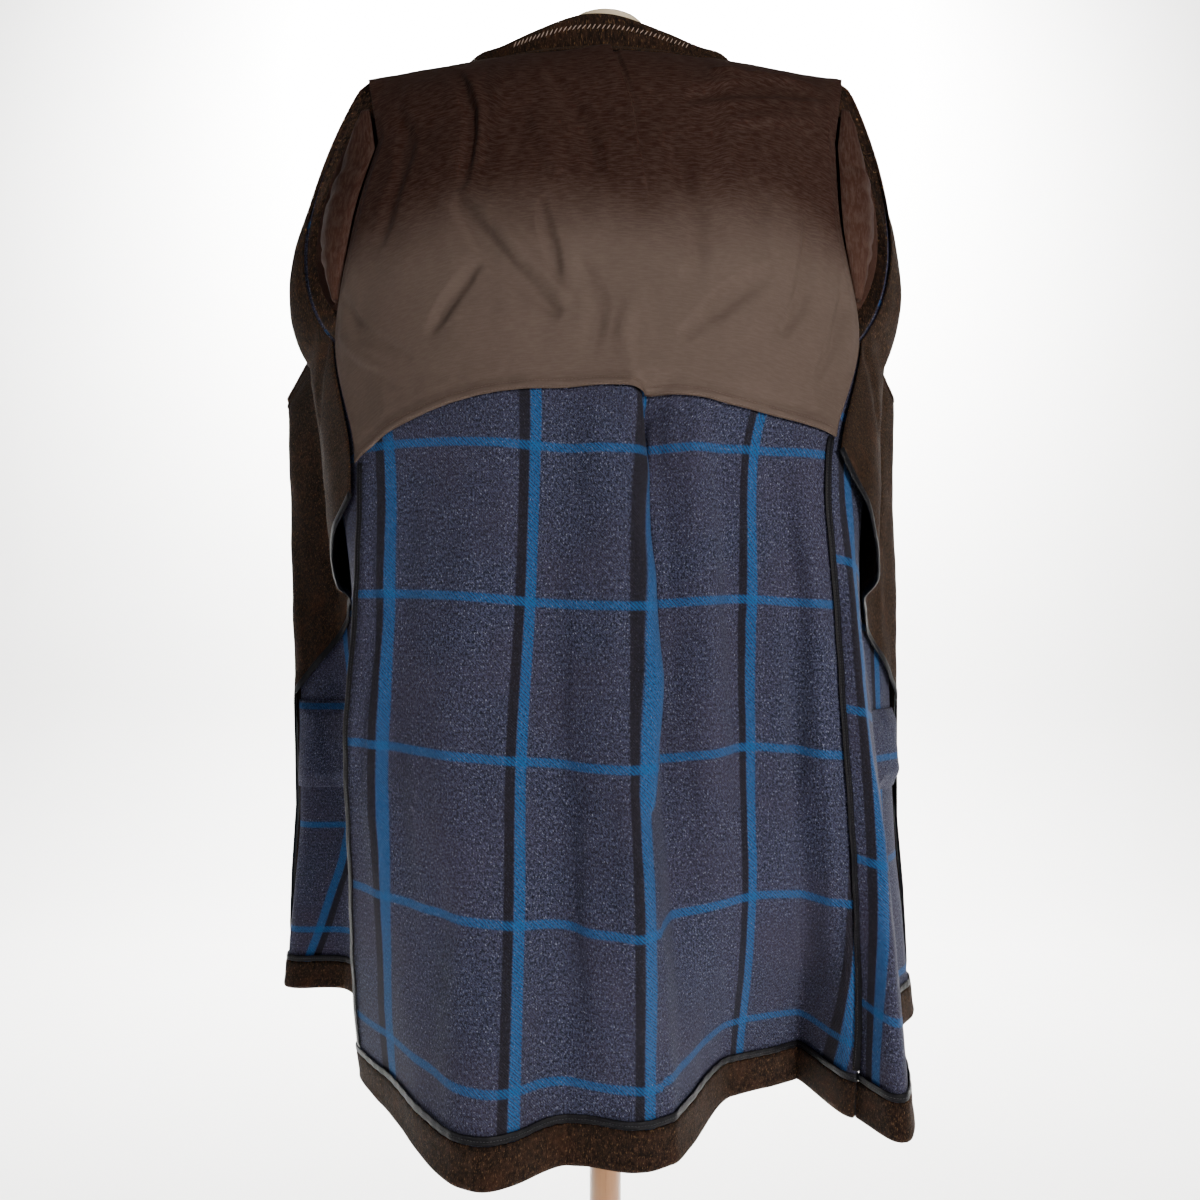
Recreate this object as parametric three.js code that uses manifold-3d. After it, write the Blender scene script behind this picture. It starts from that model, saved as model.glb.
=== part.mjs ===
// A car coat turned inside out and filled out on a limbless dress form, seen from its back.
// Millimetres, +Z up. The origin is on the floor under the form's pole. The coat's back faces -Y.
// Tables give places from the shoulder line's plane, which is in front of the pole by FORM_Y.
import * as THREE from 'three';
import { mergeVertices } from 'three/addons/utils/BufferGeometryUtils.js';
import Module from 'manifold-3d';

// Driving dimensions
const HEM_Z = 549;
const UNDERARM_Z = 1294;
const SHOULDER_Z = 1480;
const TOP_Z = 1572;
const WOOL = 3;
const LINING = 1.5;
const TRIM = 1.2;
const SEAM_GAP = 0.4;
const LAYER_GAP = 1;
const FOLDED = 2.4;
const HEM_TURN_UP = 35;
const BINDING_WIDTH = 8;
const ARMHOLE_SHARE = 0.52;
const FORM_HEIGHT = 1620;
const FORM_Y = -34;

// Side seams and centre of the back, a row for each height
const BACK_ROWS = [
  { z: 540, leftX: -247, leftY: 40, rightX: 240, rightY: -42, backY: -125 },
  { z: 625, leftX: -248, leftY: 0, rightX: 241, rightY: -50, backY: -128 },
  { z: 762, leftX: -243, leftY: -45, rightX: 231, rightY: -80, backY: -150 },
  { z: 899, leftX: -243, leftY: -72, rightX: 221, rightY: -94, backY: -152 },
  { z: 1036, leftX: -234, leftY: -80, rightX: 212, rightY: -99, backY: -150 },
  { z: 1173, leftX: -233, leftY: -78, rightX: 207, rightY: -101, backY: -148 },
  { z: 1294, leftX: -262, leftY: -48, rightX: 246, rightY: -50, backY: -148 },
  { z: 1400, leftX: -237, leftY: -78, rightX: 221, rightY: -80, backY: -150 },
  { z: 1480, leftX: -216, leftY: -74, rightX: 219, rightY: -74, backY: -133 },
];

// Folds of the back below the yoke: a positive depth stands proud, a negative one falls away.
// Reach is the half width to each side and flat the share of it that stays at full depth.
const BACK_FOLDS = [
  { name: 'left ridge', uYoke: -0.4, uHem: -0.45, left: 0.42, right: 0.34, flat: 0.05, top: 4, mid: 12, hem: 55 },
  { name: 'left hollow', uYoke: -0.12, uHem: -0.1, left: 0.16, right: 0.16, flat: 0, top: -4, mid: -8, hem: 0 },
  { name: 'centre lip', uYoke: 0.1, uHem: 0.13, left: 0.2, right: 0.14, flat: 0.1, top: 6, mid: 26, hem: 10 },
  { name: 'deep crease', uYoke: 0.19, uHem: 0.3, left: 0.06, right: 0.16, flat: 0, top: -26, mid: -26, hem: -8 },
  { name: 'right hollow', uYoke: 0.6, uHem: 0.7, left: 0.46, right: 0.3, flat: 0.4, top: -6, mid: -42, hem: -112 },
  { name: 'right ridge', uYoke: 0.42, uHem: 0.48, left: 0.1, right: 0.12, flat: 0, top: 6, mid: 9, hem: 3 },
];

// Fronts, a row for each height, with points from the side seam out to the front edge
const LEFT_ROWS = [
  { z: 540, lipX: -251, lipY: 75, flankX: -256, flankY: 120, tuckX: -290, tuckY: 215,
    turnX: -335, turnY: 290, outX: -416, outY: 300, edgeX: -385, edgeY: 370 },
  { z: 800, lipX: -250, lipY: -20, flankX: -256, flankY: 50, tuckX: -282, tuckY: 185,
    turnX: -330, turnY: 268, outX: -397, outY: 285, edgeX: -372, edgeY: 350 },
  { z: 1060, lipX: -246, lipY: -45, flankX: -262, flankY: 20, tuckX: -290, tuckY: 145,
    turnX: -332, turnY: 230, outX: -398, outY: 262, edgeX: -368, edgeY: 325 },
  { z: 1294, lipX: -283, lipY: -24, flankX: -304, flankY: 10, tuckX: -318, tuckY: 85,
    turnX: -340, turnY: 165, outX: -402, outY: 240, edgeX: -372, edgeY: 300 },
];
const RIGHT_ROWS = [
  { z: 540, lipX: 268, lipY: -88, flankX: 292, flankY: -26, tuckX: 312, tuckY: 80,
    turnX: 338, turnY: 155, outX: 374, outY: 215, edgeX: 362, edgeY: 288 },
  { z: 800, lipX: 254, lipY: -92, flankX: 267, flankY: -48, tuckX: 290, tuckY: 70,
    turnX: 322, turnY: 150, outX: 355, outY: 212, edgeX: 345, edgeY: 280 },
  { z: 1060, lipX: 228, lipY: -94, flankX: 244, flankY: -52, tuckX: 268, tuckY: 55,
    turnX: 308, turnY: 135, outX: 351, outY: 200, edgeX: 335, edgeY: 265 },
  { z: 1294, lipX: 266, lipY: -24, flankX: 288, flankY: 12, tuckX: 302, tuckY: 78,
    turnX: 318, turnY: 142, outX: 354, outY: 195, edgeX: 330, edgeY: 255 },
];
const STATIONS = [
  { name: 'lip', w: 0.1 }, { name: 'flank', w: 0.22 }, { name: 'tuck', w: 0.42 },
  { name: 'turn', w: 0.62 }, { name: 'out', w: 0.85 }, { name: 'edge', w: 1 },
];

// How far each front bulges out between the underarm and the shoulder, and its top edge past the neck
const CHEST_BULGE = [
  { w: 0, x: 62, y: 57 }, { w: 0.22, x: 74, y: 50 }, { w: 0.42, x: 45, y: 45 },
  { w: 0.62, x: 10, y: 12 }, { w: 0.85, x: 0, y: 0 }, { w: 1, x: 0, y: 0 },
];
const CHEST_SHARE = { left: 1, right: 0.84 };
const LAPEL = {
  left: { outX: -404, outY: 236, outZ: 1316, edgeX: -372, edgeY: 300, edgeZ: 1302 },
  right: { outX: 356, outY: 190, outZ: 1304, edgeX: 331, edgeY: 255, edgeZ: 1300 },
};

// Lower edge of each facing: height at shares of the way from the side seam to the front edge
const FACING_EDGE = {
  left: [{ w: 0, z: 1142 }, { w: 0.1, z: 1108 }, { w: 0.22, z: 1072 }, { w: 0.42, z: 1050 },
    { w: 0.62, z: 1014 }, { w: 0.85, z: 936 }, { w: 1, z: 900 }],
  right: [{ w: 0, z: 1182 }, { w: 0.1, z: 1128 }, { w: 0.22, z: 1068 }, { w: 0.42, z: 1040 },
    { w: 0.62, z: 1000 }, { w: 0.85, z: 930 }, { w: 1, z: 900 }],
};
const FACING_STAND_OFF = { seam: 2.5, flank: 15, far: 4 };
const YOKE_EDGE = [
  { u: -1, z: 1166 }, { u: -0.8, z: 1190 }, { u: -0.4, z: 1213 }, { u: 0.1, z: 1219 },
  { u: 0.55, z: 1207 }, { u: 0.85, z: 1194 }, { u: 1, z: 1186 },
];

const mix = (a, b, t) => a + (b - a) * t;
const clamp = (value, low, high) => Math.min(high, Math.max(low, value));
const ease = (t) => t * t * (3 - 2 * t);

// Smooth curve through a table: column as a function of the key column
function along(rows, key, column, at) {
  const last = rows.length - 1;
  const t = clamp(at, rows[0][key], rows[last][key]);
  let k = 0;
  while (k < last - 1 && t > rows[k + 1][key]) k += 1;
  const slope = (i) => {
    const a = rows[Math.max(0, i - 1)];
    const b = rows[Math.min(last, i + 1)];
    return (b[column] - a[column]) / (b[key] - a[key]);
  };
  const span = rows[k + 1][key] - rows[k][key];
  const s = (t - rows[k][key]) / span;
  const h00 = (1 + 2 * s) * (1 - s) ** 2;
  const h10 = s * (1 - s) ** 2;
  const h01 = s * s * (3 - 2 * s);
  const h11 = s * s * (s - 1);
  return h00 * rows[k][column] + h10 * span * slope(k) + h01 * rows[k + 1][column] + h11 * span * slope(k + 1);
}

// Shoulder seams and back neck seam, u from -1 at the left shoulder point to 1 at the right one
function topLine(u) {
  const far = Math.abs(u);
  const x = mix(-236, 236, (u + 1) / 2) - 9 * (1 - far);
  if (far < ARMHOLE_SHARE) {
    const c = Math.cos((Math.PI / 2) * (far / ARMHOLE_SHARE));
    return new THREE.Vector3(x, -42 - 58 * c, 1577 - 21 * c);
  }
  const t = (far - ARMHOLE_SHARE) / (1 - ARMHOLE_SHARE);
  return new THREE.Vector3(x, -42 - 8 * t, 1577 - 22 * t);
}

function foldDepth(fold, u, z) {
  const down = clamp((1190 - z) / (1190 - HEM_Z), 0, 1);
  const centre = mix(fold.uYoke, fold.uHem, down);
  const reach = u < centre ? fold.left : fold.right;
  const t = clamp((Math.abs(u - centre) / reach - fold.flat) / (1 - fold.flat), 0, 1);
  const depth = down < 0.6 ? mix(fold.top, fold.mid, down / 0.6) : mix(fold.mid, fold.hem, ease((down - 0.6) / 0.4));
  const fadeIn = 1 - ease(clamp((z - 1190) / 50, 0, 1));
  return depth * fadeIn * (1 - ease(t));
}

function backPoint(u, z) {
  const level = Math.min(z, SHOULDER_Z);
  const side = u < 0 ? 'leftY' : 'rightY';
  const backY = along(BACK_ROWS, 'z', 'backY', level);
  const x = mix(along(BACK_ROWS, 'z', 'leftX', level), along(BACK_ROWS, 'z', 'rightX', level), (u + 1) / 2);
  let y = mix(backY, along(BACK_ROWS, 'z', side, level), Math.abs(u) ** 2.6);
  for (const fold of BACK_FOLDS) y -= foldDepth(fold, u, level);
  if (z <= SHOULDER_Z) return new THREE.Vector3(x, y, z);
  const t = (z - SHOULDER_Z) / (TOP_Z - SHOULDER_Z);
  const top = topLine(u);
  const start = new THREE.Vector3(x, y, SHOULDER_Z);
  const bend = new THREE.Vector3(mix(x, top.x, 0.5), mix(y, top.y, 0.18), mix(SHOULDER_Z, top.z, 0.68));
  return start.multiplyScalar((1 - t) ** 2).addScaledVector(bend, 2 * t * (1 - t)).addScaledVector(top, t * t);
}

function frontLevel(side, w, z) {
  const rows = side < 0 ? LEFT_ROWS : RIGHT_ROWS;
  const seam = backPoint(side, z);
  const stations = [{ w: 0, x: seam.x, y: seam.y }];
  for (const { name, w: share } of STATIONS) {
    stations.push({ w: share, x: along(rows, 'z', `${name}X`, z), y: along(rows, 'z', `${name}Y`, z) });
  }
  return new THREE.Vector3(along(stations, 'w', 'x', w), along(stations, 'w', 'y', w), z);
}

function frontTop(side, w) {
  const lapel = side < 0 ? LAPEL.left : LAPEL.right;
  if (w <= 0.5) return topLine(side * mix(1, ARMHOLE_SHARE, w / 0.5)).add(new THREE.Vector3(0, SEAM_GAP, 0));
  const neck = topLine(side * ARMHOLE_SHARE).add(new THREE.Vector3(0, SEAM_GAP, 0));
  const out = new THREE.Vector3(lapel.outX, lapel.outY, lapel.outZ);
  const edge = new THREE.Vector3(lapel.edgeX, lapel.edgeY, lapel.edgeZ);
  return w <= 0.85 ? neck.lerp(out, (w - 0.5) / 0.35) : out.lerp(edge, (w - 0.85) / 0.15);
}

// Each front from its side seam or armhole, w = 0, to its front edge, w = 1
function frontPoint(side, w, z) {
  if (z <= UNDERARM_Z) return frontLevel(side, w, z);
  const t = (z - UNDERARM_Z) / (TOP_Z - UNDERARM_Z);
  const swell = CHEST_SHARE[side < 0 ? 'left' : 'right'] * (4 * t * (1 - t)) ** 0.92;
  const point = frontLevel(side, w, UNDERARM_Z).lerp(frontTop(side, w), t);
  point.x += side * swell * along(CHEST_BULGE, 'w', 'x', w);
  point.y += swell * along(CHEST_BULGE, 'w', 'y', w);
  return point;
}

// The whole coat as one sheet: v from -2 to -1 the left front, to 1 the back and to 2 the right front
function coatPoint(v, z) {
  return Math.abs(v) <= 1 ? backPoint(v, z) : frontPoint(Math.sign(v), Math.abs(v) - 1, z);
}

function coatSpot(v, z, low, high) {
  const joined = z <= UNDERARM_Z;
  const step = 0.02;
  const v1 = Math.max(v - step, joined ? -2 : low);
  const v2 = Math.min(v + step, joined ? 2 : high);
  const across = coatPoint(v2, z).sub(coatPoint(v1, z));
  const up = coatPoint(v, Math.min(z + 8, TOP_Z)).sub(coatPoint(v, Math.max(z - 8, HEM_Z)));
  return { point: coatPoint(v, z), normal: across.cross(up).normalize() };
}

// A closed wall over a grid of spots, from the offset inner to the offset outer along each normal
function wall(grid, inner, outer) {
  const rows = grid.length;
  const cols = grid[0].length;
  const offset = (amount, i, j) => (typeof amount === 'function' ? amount(i, j) : amount);
  const vertices = [];
  for (const amount of [outer, inner]) {
    grid.forEach((row, i) => row.forEach(({ point, normal }, j) => {
      vertices.push(...point.clone().addScaledVector(normal, offset(amount, i, j)).toArray());
    }));
  }
  const at = (layer, i, j) => layer * rows * cols + i * cols + j;
  const index = [];
  const quad = (a, b, c, d) => index.push(a, b, c, a, c, d);
  for (let i = 0; i < rows - 1; i += 1) {
    for (let j = 0; j < cols - 1; j += 1) {
      quad(at(0, i, j), at(0, i, j + 1), at(0, i + 1, j + 1), at(0, i + 1, j));
      quad(at(1, i, j), at(1, i + 1, j), at(1, i + 1, j + 1), at(1, i, j + 1));
    }
    quad(at(0, i, 0), at(0, i + 1, 0), at(1, i + 1, 0), at(1, i, 0));
    quad(at(0, i + 1, cols - 1), at(0, i, cols - 1), at(1, i, cols - 1), at(1, i + 1, cols - 1));
  }
  for (let j = 0; j < cols - 1; j += 1) {
    quad(at(0, 0, j + 1), at(0, 0, j), at(1, 0, j), at(1, 0, j + 1));
    quad(at(0, rows - 1, j), at(0, rows - 1, j + 1), at(1, rows - 1, j + 1), at(1, rows - 1, j));
  }
  return facingOut(vertices, index);
}

// Turns a closed mesh so that its faces point out
function facingOut(vertices, index) {
  let volume = 0;
  const corner = (n) => new THREE.Vector3(...vertices.slice(3 * n, 3 * n + 3));
  for (let k = 0; k < index.length; k += 3) {
    volume += corner(index[k]).dot(corner(index[k + 1]).cross(corner(index[k + 2])));
  }
  const geometry = new THREE.BufferGeometry();
  geometry.setAttribute('position', new THREE.Float32BufferAttribute(vertices, 3));
  geometry.setIndex(volume > 0 ? index : index.reverse());
  return geometry;
}

// A closed tube through rings, each a list of the same number of points, with both ends capped
function lofted(rings) {
  const count = rings[0].length;
  const vertices = rings.flat().flatMap((p) => p.toArray());
  const index = [];
  for (let i = 0; i < rings.length - 1; i += 1) {
    for (let j = 0; j < count; j += 1) {
      const k = (j + 1) % count;
      const [a, b, c, d] = [i * count + j, i * count + k, (i + 1) * count + k, (i + 1) * count + j];
      index.push(a, b, c, a, c, d);
    }
  }
  for (const [ring, start] of [[rings[0], 0], [rings[rings.length - 1], (rings.length - 1) * count]]) {
    const middle = ring.reduce((sum, p) => sum.add(p), new THREE.Vector3()).divideScalar(count);
    const hub = vertices.length / 3;
    vertices.push(...middle.toArray());
    for (let j = 0; j < count; j += 1) {
      const k = (j + 1) % count;
      if (start === 0) index.push(hub, start + k, start + j);
      else index.push(hub, start + j, start + k);
    }
  }
  return facingOut(vertices, index);
}

const coat = new THREE.Group();
coat.position.y = -FORM_Y;
const paint = (hex, roughness) => new THREE.MeshStandardMaterial({ color: hex, roughness, metalness: 0 });
const CLOTH = {
  check: paint(0x3b3e4c, 0.95), face: paint(0x3a2619, 0.98), lining: paint(0x54443c, 0.6),
  satin: paint(0x17161a, 0.4), form: paint(0xe9ddc6, 0.8), wood: paint(0x9a6b42, 0.5), button: paint(0x2a1c14, 0.35),
};
function piece(name, geometry, material) {
  const mesh = new THREE.Mesh(geometry, material);
  mesh.name = name;
  coat.add(mesh);
}

// Grid lines that every layer shares, so that layers stay parallel
const Z_LINES = [HEM_Z, HEM_Z + HEM_TURN_UP, HEM_Z + HEM_TURN_UP + BINDING_WIDTH, 640, 700, 765, 830, 900,
  970, 1040, 1100, 1140, 1230, UNDERARM_Z, 1345, 1400, 1445, SHOULDER_Z, 1515, 1548, TOP_Z];
const SEAM_TRIM = 0.036;
function evenly(from, to, count) {
  return Array.from({ length: count + 1 }, (_, k) => mix(from, to, k / count));
}
const U_LINES = [-1, -1 + SEAM_TRIM, ...evenly(-0.9, -0.6, 4), -ARMHOLE_SHARE, ...evenly(-0.44, 0.02, 6),
  0.07, 0.12, 0.16, 0.19, 0.22, 0.26, 0.31, 0.37, 0.44, ARMHOLE_SHARE, ...evenly(0.6, 0.9, 4), 1 - SEAM_TRIM, 1];
const W_LINES = [0.003, 0.05, 0.1, 0.16, 0.22, 0.32, 0.42, 0.5, 0.56, 0.62, 0.7, 0.78, 0.85, 0.9, 1];

function backGrid(zLines, uLines = U_LINES) {
  return zLines.map((z) => uLines.map((u) => coatSpot(u, z, -1, 1)));
}
function frontGrid(side, zAt, wLines = W_LINES) {
  const [low, high] = side < 0 ? [-2, -1] : [1, 2];
  return zAt.map((height) => wLines.map((w) => {
    const z = typeof height === 'function' ? height(w) : height;
    return coatSpot(side * (1 + w), z, low, high);
  }));
}
// A point on the back's faceted wall, between two of its height lines
function backFacetSpot(u, z) {
  const k = Z_LINES.findIndex((line) => line >= z);
  const t = (z - Z_LINES[k - 1]) / (Z_LINES[k] - Z_LINES[k - 1]);
  const below = coatSpot(u, Z_LINES[k - 1], -1, 1);
  const above = coatSpot(u, Z_LINES[k], -1, 1);
  return { point: below.point.lerp(above.point, t), normal: below.normal.lerp(above.normal, t).normalize() };
}

// Back panel and half lining
piece('back_panel', wall(backGrid(Z_LINES), 0, WOOL), CLOTH.check);
const YOKE_TOP = { neck: 1554, shoulder: 1571 };
const yokeGrid = [
  U_LINES.map((u) => backFacetSpot(u, along(YOKE_EDGE, 'u', 'z', u))),
  ...backGrid(Z_LINES.filter((z) => z > 1225 && z < 1549)),
  U_LINES.map((u) => {
    const inNeck = 1 - ease(clamp((Math.abs(u) - 0.4) / (ARMHOLE_SHARE - 0.4), 0, 1));
    return coatSpot(u, mix(YOKE_TOP.shoulder, YOKE_TOP.neck, inNeck), -1, 1);
  }),
];
const yokeBase = (i) => WOOL + LAYER_GAP + (i === 0 ? 3 : 1);
piece('back_lining_yoke', wall(yokeGrid, yokeBase, (i) => yokeBase(i) + LINING), CLOTH.lining);

// Neck facing and the hem's turn-up with its binding
const overCloth = WOOL + LAYER_GAP;
const neckLines = U_LINES.filter((u) => Math.abs(u) < 0.4);
piece('back_neck_facing', wall(backGrid([1557, TOP_Z], neckLines), overCloth, overCloth + FOLDED), CLOTH.face);
const turnUp = HEM_Z + HEM_TURN_UP;
const hemRows = [HEM_Z, turnUp - SEAM_GAP];
const hemTrimRows = [turnUp, turnUp + BINDING_WIDTH];
piece('hem_facing_back', wall(backGrid(hemRows), overCloth, overCloth + FOLDED), CLOTH.face);
piece('hem_binding_back', wall(backGrid(hemTrimRows), overCloth, overCloth + TRIM), CLOTH.satin);

// Fronts and what lies on them, made for each side
const BAG = { gap: 0.7, rim: 4, belly: 12 };
const WELT = { z: 900, wide: 25, slope: 200 };
const STRIP_SHARE = 0.9;
const FACING_START = 0.012;
function facingFoot(side, w) {
  if (w >= STRIP_SHARE) return turnUp + BINDING_WIDTH + 2;
  return along(side < 0 ? FACING_EDGE.left : FACING_EDGE.right, 'w', 'z', w);
}
function standOff(w) {
  const far = mix(FACING_STAND_OFF.flank, FACING_STAND_OFF.far, ease(clamp((w - 0.25) / 0.3, 0, 1)));
  return mix(FACING_STAND_OFF.seam, far, ease(clamp(w / 0.2, 0, 1)));
}
for (const [name, side] of [['left', -1], ['right', 1]]) {
  piece(`front_${name}`, wall(frontGrid(side, Z_LINES), 0, WOOL), CLOTH.check);

  const stepsBelow = 6;
  const rising = (share) => (w) => mix(facingFoot(side, w), UNDERARM_Z, share);
  const below = Array.from({ length: stepsBelow }, (_, k) => rising(k / stepsBelow));
  const above = Z_LINES.filter((z) => z >= UNDERARM_Z && z < TOP_Z);
  const facingLines = [FACING_START, ...W_LINES.slice(1)];
  const facingGrid = frontGrid(side, [...below, ...above, TOP_Z - 1], facingLines);
  const base = (i, j) => overCloth + 1 + standOff(W_LINES[j]) * (1 - ease(Math.min(1, i / stepsBelow)));
  piece(`facing_${name}`, wall(facingGrid, base, (i, j) => base(i, j) + FOLDED), CLOTH.face);

  const edgeLines = [...W_LINES.filter((w) => w <= 0.85), STRIP_SHARE - 0.004];
  const edgeSpot = (w, drop) => {
    const foot = w > 0.85 ? facingFoot(side, 1) : facingFoot(side, w) - drop;
    return frontGrid(side, [foot], [w > 0.85 ? w - drop * 0.0025 : w])[0][0];
  };
  const trimGrid = [BINDING_WIDTH + 1, 1].map((drop) => edgeLines.map((w) => edgeSpot(w, drop)));
  const trimBase = (i, j) => overCloth + 1.4 + standOff(edgeLines[j]);
  piece(`facing_binding_${name}`, wall(trimGrid, trimBase, (i, j) => trimBase(i, j) + TRIM), CLOTH.satin);

  piece(`hem_facing_${name}`, wall(frontGrid(side, hemRows), overCloth, overCloth + FOLDED), CLOTH.face);
  piece(`hem_binding_${name}`, wall(frontGrid(side, hemTrimRows), overCloth, overCloth + TRIM), CLOTH.satin);

  const seamLines = side < 0 ? [-1, -1 + SEAM_TRIM] : [1 - SEAM_TRIM, 1];
  const seamTop = along(YOKE_EDGE, 'u', 'z', side) - 1;
  const seamZ = [turnUp + BINDING_WIDTH + 3, ...Z_LINES.filter((z) => z > 600 && z < seamTop), seamTop];
  const seamGrid = seamZ.map((z) => seamLines.map((u) => backFacetSpot(u, z)));
  piece(`seam_binding_${name}`, wall(seamGrid, overCloth, overCloth + TRIM), CLOTH.satin);

  const bagW = W_LINES.filter((w) => w >= 0.56 && w <= 0.85);
  const bagZ = side < 0 ? [812, 830, 900, 926] : [826, 840, 900, 920];
  const bagGrid = frontGrid(side, bagZ, bagW);
  const rim = (i, j) => i === 0 || j === 0 || i === bagZ.length - 1 || j === bagW.length - 1;
  const bagFace = (i, j) => WOOL + (rim(i, j) ? BAG.rim : BAG.belly);
  piece(`pocket_bag_${name}`, wall(bagGrid, WOOL + BAG.gap, bagFace), CLOTH.check);
  const slanted = (z) => (w) => z + WELT.slope * (w - 0.6);
  const weltGrid = frontGrid(side, [slanted(WELT.z), slanted(WELT.z + WELT.wide)], [0.56, 0.62, 0.7, 0.78]);
  piece(`pocket_welt_${name}`, wall(weltGrid, -LAYER_GAP - FOLDED, -LAYER_GAP), CLOTH.face);
}

// Buttons on the right front's face side
const BUTTON = { radius: 12, thick: 4, w: 0.95 };
[1262, 1142, 1022, 902].forEach((z, k) => {
  const { point, normal } = coatSpot(1 + BUTTON.w, z, 1, 2);
  const disc = new THREE.CylinderGeometry(BUTTON.radius, BUTTON.radius, BUTTON.thick, 16);
  disc.applyQuaternion(new THREE.Quaternion().setFromUnitVectors(new THREE.Vector3(0, 1, 0), normal));
  const seat = point.addScaledVector(normal, -(BUTTON.thick / 2 + SEAM_GAP + 0.3));
  piece(`button_${k + 1}`, disc.translate(seat.x, seat.y, seat.z), CLOTH.button);
});

// Sleeves: the armhole loop runs from the shoulder down the back edge and up the front edge
const SLEEVE_ROWS = [
  { tilt: 25, across: 82, deep: 34, x: 206, y: -28, z: 1394 },
  { tilt: 60, across: 46, deep: 48, x: 194, y: -22, z: 1324 },
  { tilt: 90, across: 33, deep: 58, x: 198, y: -16, z: 1240 },
  { tilt: 90, across: 29, deep: 58, x: 192, y: -14, z: 1100 },
  { tilt: 90, across: 27, deep: 54, x: 190, y: -12, z: 1000 },
  { tilt: 90, across: 26, deep: 52, x: 188, y: -10, z: 926 },
];
// The sleeve's mouth and its lining's throat: how far in from the armhole's edge and into the body
const SLEEVE_HEAD = { inset: 4.2, into: 11, liningInset: 20, liningInto: 16 };
const HALF_STEPS = 7;
const ARMHOLE_TOP = 1564;
const ARMHOLE_FOOT = 1302;
function armholePair(side, t) {
  const z = mix(ARMHOLE_TOP, ARMHOLE_FOOT, t);
  return [backPoint(side, z), frontPoint(side, 0, z)];
}
// A ring of the sleeve at turn a: 0 and 1 at the shoulder, 0.5 at the underarm
function sleevePoint(side, row, a, inset) {
  const angle = 2 * Math.PI * a;
  const tilt = THREE.MathUtils.degToRad(row.tilt);
  const across = (row.across - inset) * Math.cos(angle);
  const deep = (row.deep - inset) * Math.sin(angle);
  return new THREE.Vector3(side * (row.x - across * Math.sin(tilt)), row.y - deep, row.z + across * Math.cos(tilt));
}
// Moves a point of the loop towards the loop's middle height, most at the shoulder and the underarm
function endInset(point, t, inset) {
  point.z -= inset * Math.sign(0.5 - t) * (1 - 2 * t) ** 2;
  return point;
}
function sleeveMouth(side, a, inset, into) {
  const t = a <= 0.5 ? a / 0.5 : (1 - a) / 0.5;
  const [back, front] = armholePair(side, clamp(t, 0.06, 0.95));
  const middle = back.clone().lerp(front, 0.5);
  const point = a <= 0.5 ? back : front;
  const across = middle.sub(point);
  point.addScaledVector(across.normalize(), inset);
  point.x -= side * into;
  return endInset(point, t, inset);
}
// Normals of a grid of points, away from the tube's axis when outward is 1
function withNormals(points, outward) {
  return points.map((row, i) => row.map((point, j) => {
    const up = points[Math.min(i + 1, points.length - 1)][j].clone().sub(points[Math.max(i - 1, 0)][j]);
    const on = row[Math.min(j + 1, row.length - 1)].clone().sub(row[Math.max(j - 1, 0)]);
    return { point, normal: up.cross(on).normalize().multiplyScalar(outward) };
  }));
}
// How far the lining lies inside each row of the sleeve: it is felled to the cuff
const LINING_INSET = [10, 10, 7, 7, 7, 2.8];
for (const [name, side] of [['left', -1], ['right', 1]]) {
  for (const [half, from, to] of [['upper', -0.248, 0.248], ['under', 0.252, 0.748]]) {
    const around = evenly(from, to, HALF_STEPS).map((a) => (a + 1) % 1);
    const rings = SLEEVE_ROWS.map((row) => around.map((a) => sleevePoint(side, row, a, 0)));
    const mouth = around.map((a) => {
      const meetsBack = a <= 0.5 ? Math.sin(2 * Math.PI * a) ** 2 : 0;
      return sleeveMouth(side, a, SLEEVE_HEAD.inset, mix(SLEEVE_HEAD.into, 1, meetsBack));
    });
    const points = [mouth, ...rings];
    piece(`${half}_sleeve_${name}`, wall(withNormals(points, side), 0, FOLDED), CLOTH.face);
  }
  const around = evenly(0.004, 0.996, 2 * HALF_STEPS + 2);
  const CREST = [{ along: 0.03, out: 5 }, { along: 0.34, out: 15 }, { along: 0.62, out: 6 }, { along: 0.46, out: -10 }];
  const crest = CREST.map(({ along: share, out }, i) => around.map((a) => {
    const t = a <= 0.5 ? a / 0.5 : (1 - a) / 0.5;
    const [back, front] = armholePair(side, clamp(t, 0.09, 0.92));
    const over = front.clone().sub(back);
    const inset = Math.min(13, 0.34 * over.length());
    const outward = new THREE.Vector3(side * Math.abs(over.y), -Math.abs(over.x), 0).normalize();
    if (a > 0.5) {
      front.addScaledVector(over.normalize(), -inset).x -= side * (2 + 3 * i);
      return endInset(front, t, 13);
    }
    const swell = Math.sin(Math.PI * t) ** 0.6;
    const rise = out > 0 ? out * swell : out;
    return endInset(back.addScaledVector(over, share * swell + 0.03).addScaledVector(outward, rise), t, 17);
  }));
  const rings = SLEEVE_ROWS.map((row, i) => around.map((a) => sleevePoint(side, row, a, LINING_INSET[i])));
  const throat = around.map((a) => sleeveMouth(side, a, SLEEVE_HEAD.liningInset, SLEEVE_HEAD.liningInto));
  const liningGrid = withNormals([...crest, throat, ...rings], side);
  piece(`sleeve_lining_${name}`, wall(liningGrid, 0, LINING), CLOTH.lining);
}

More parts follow.
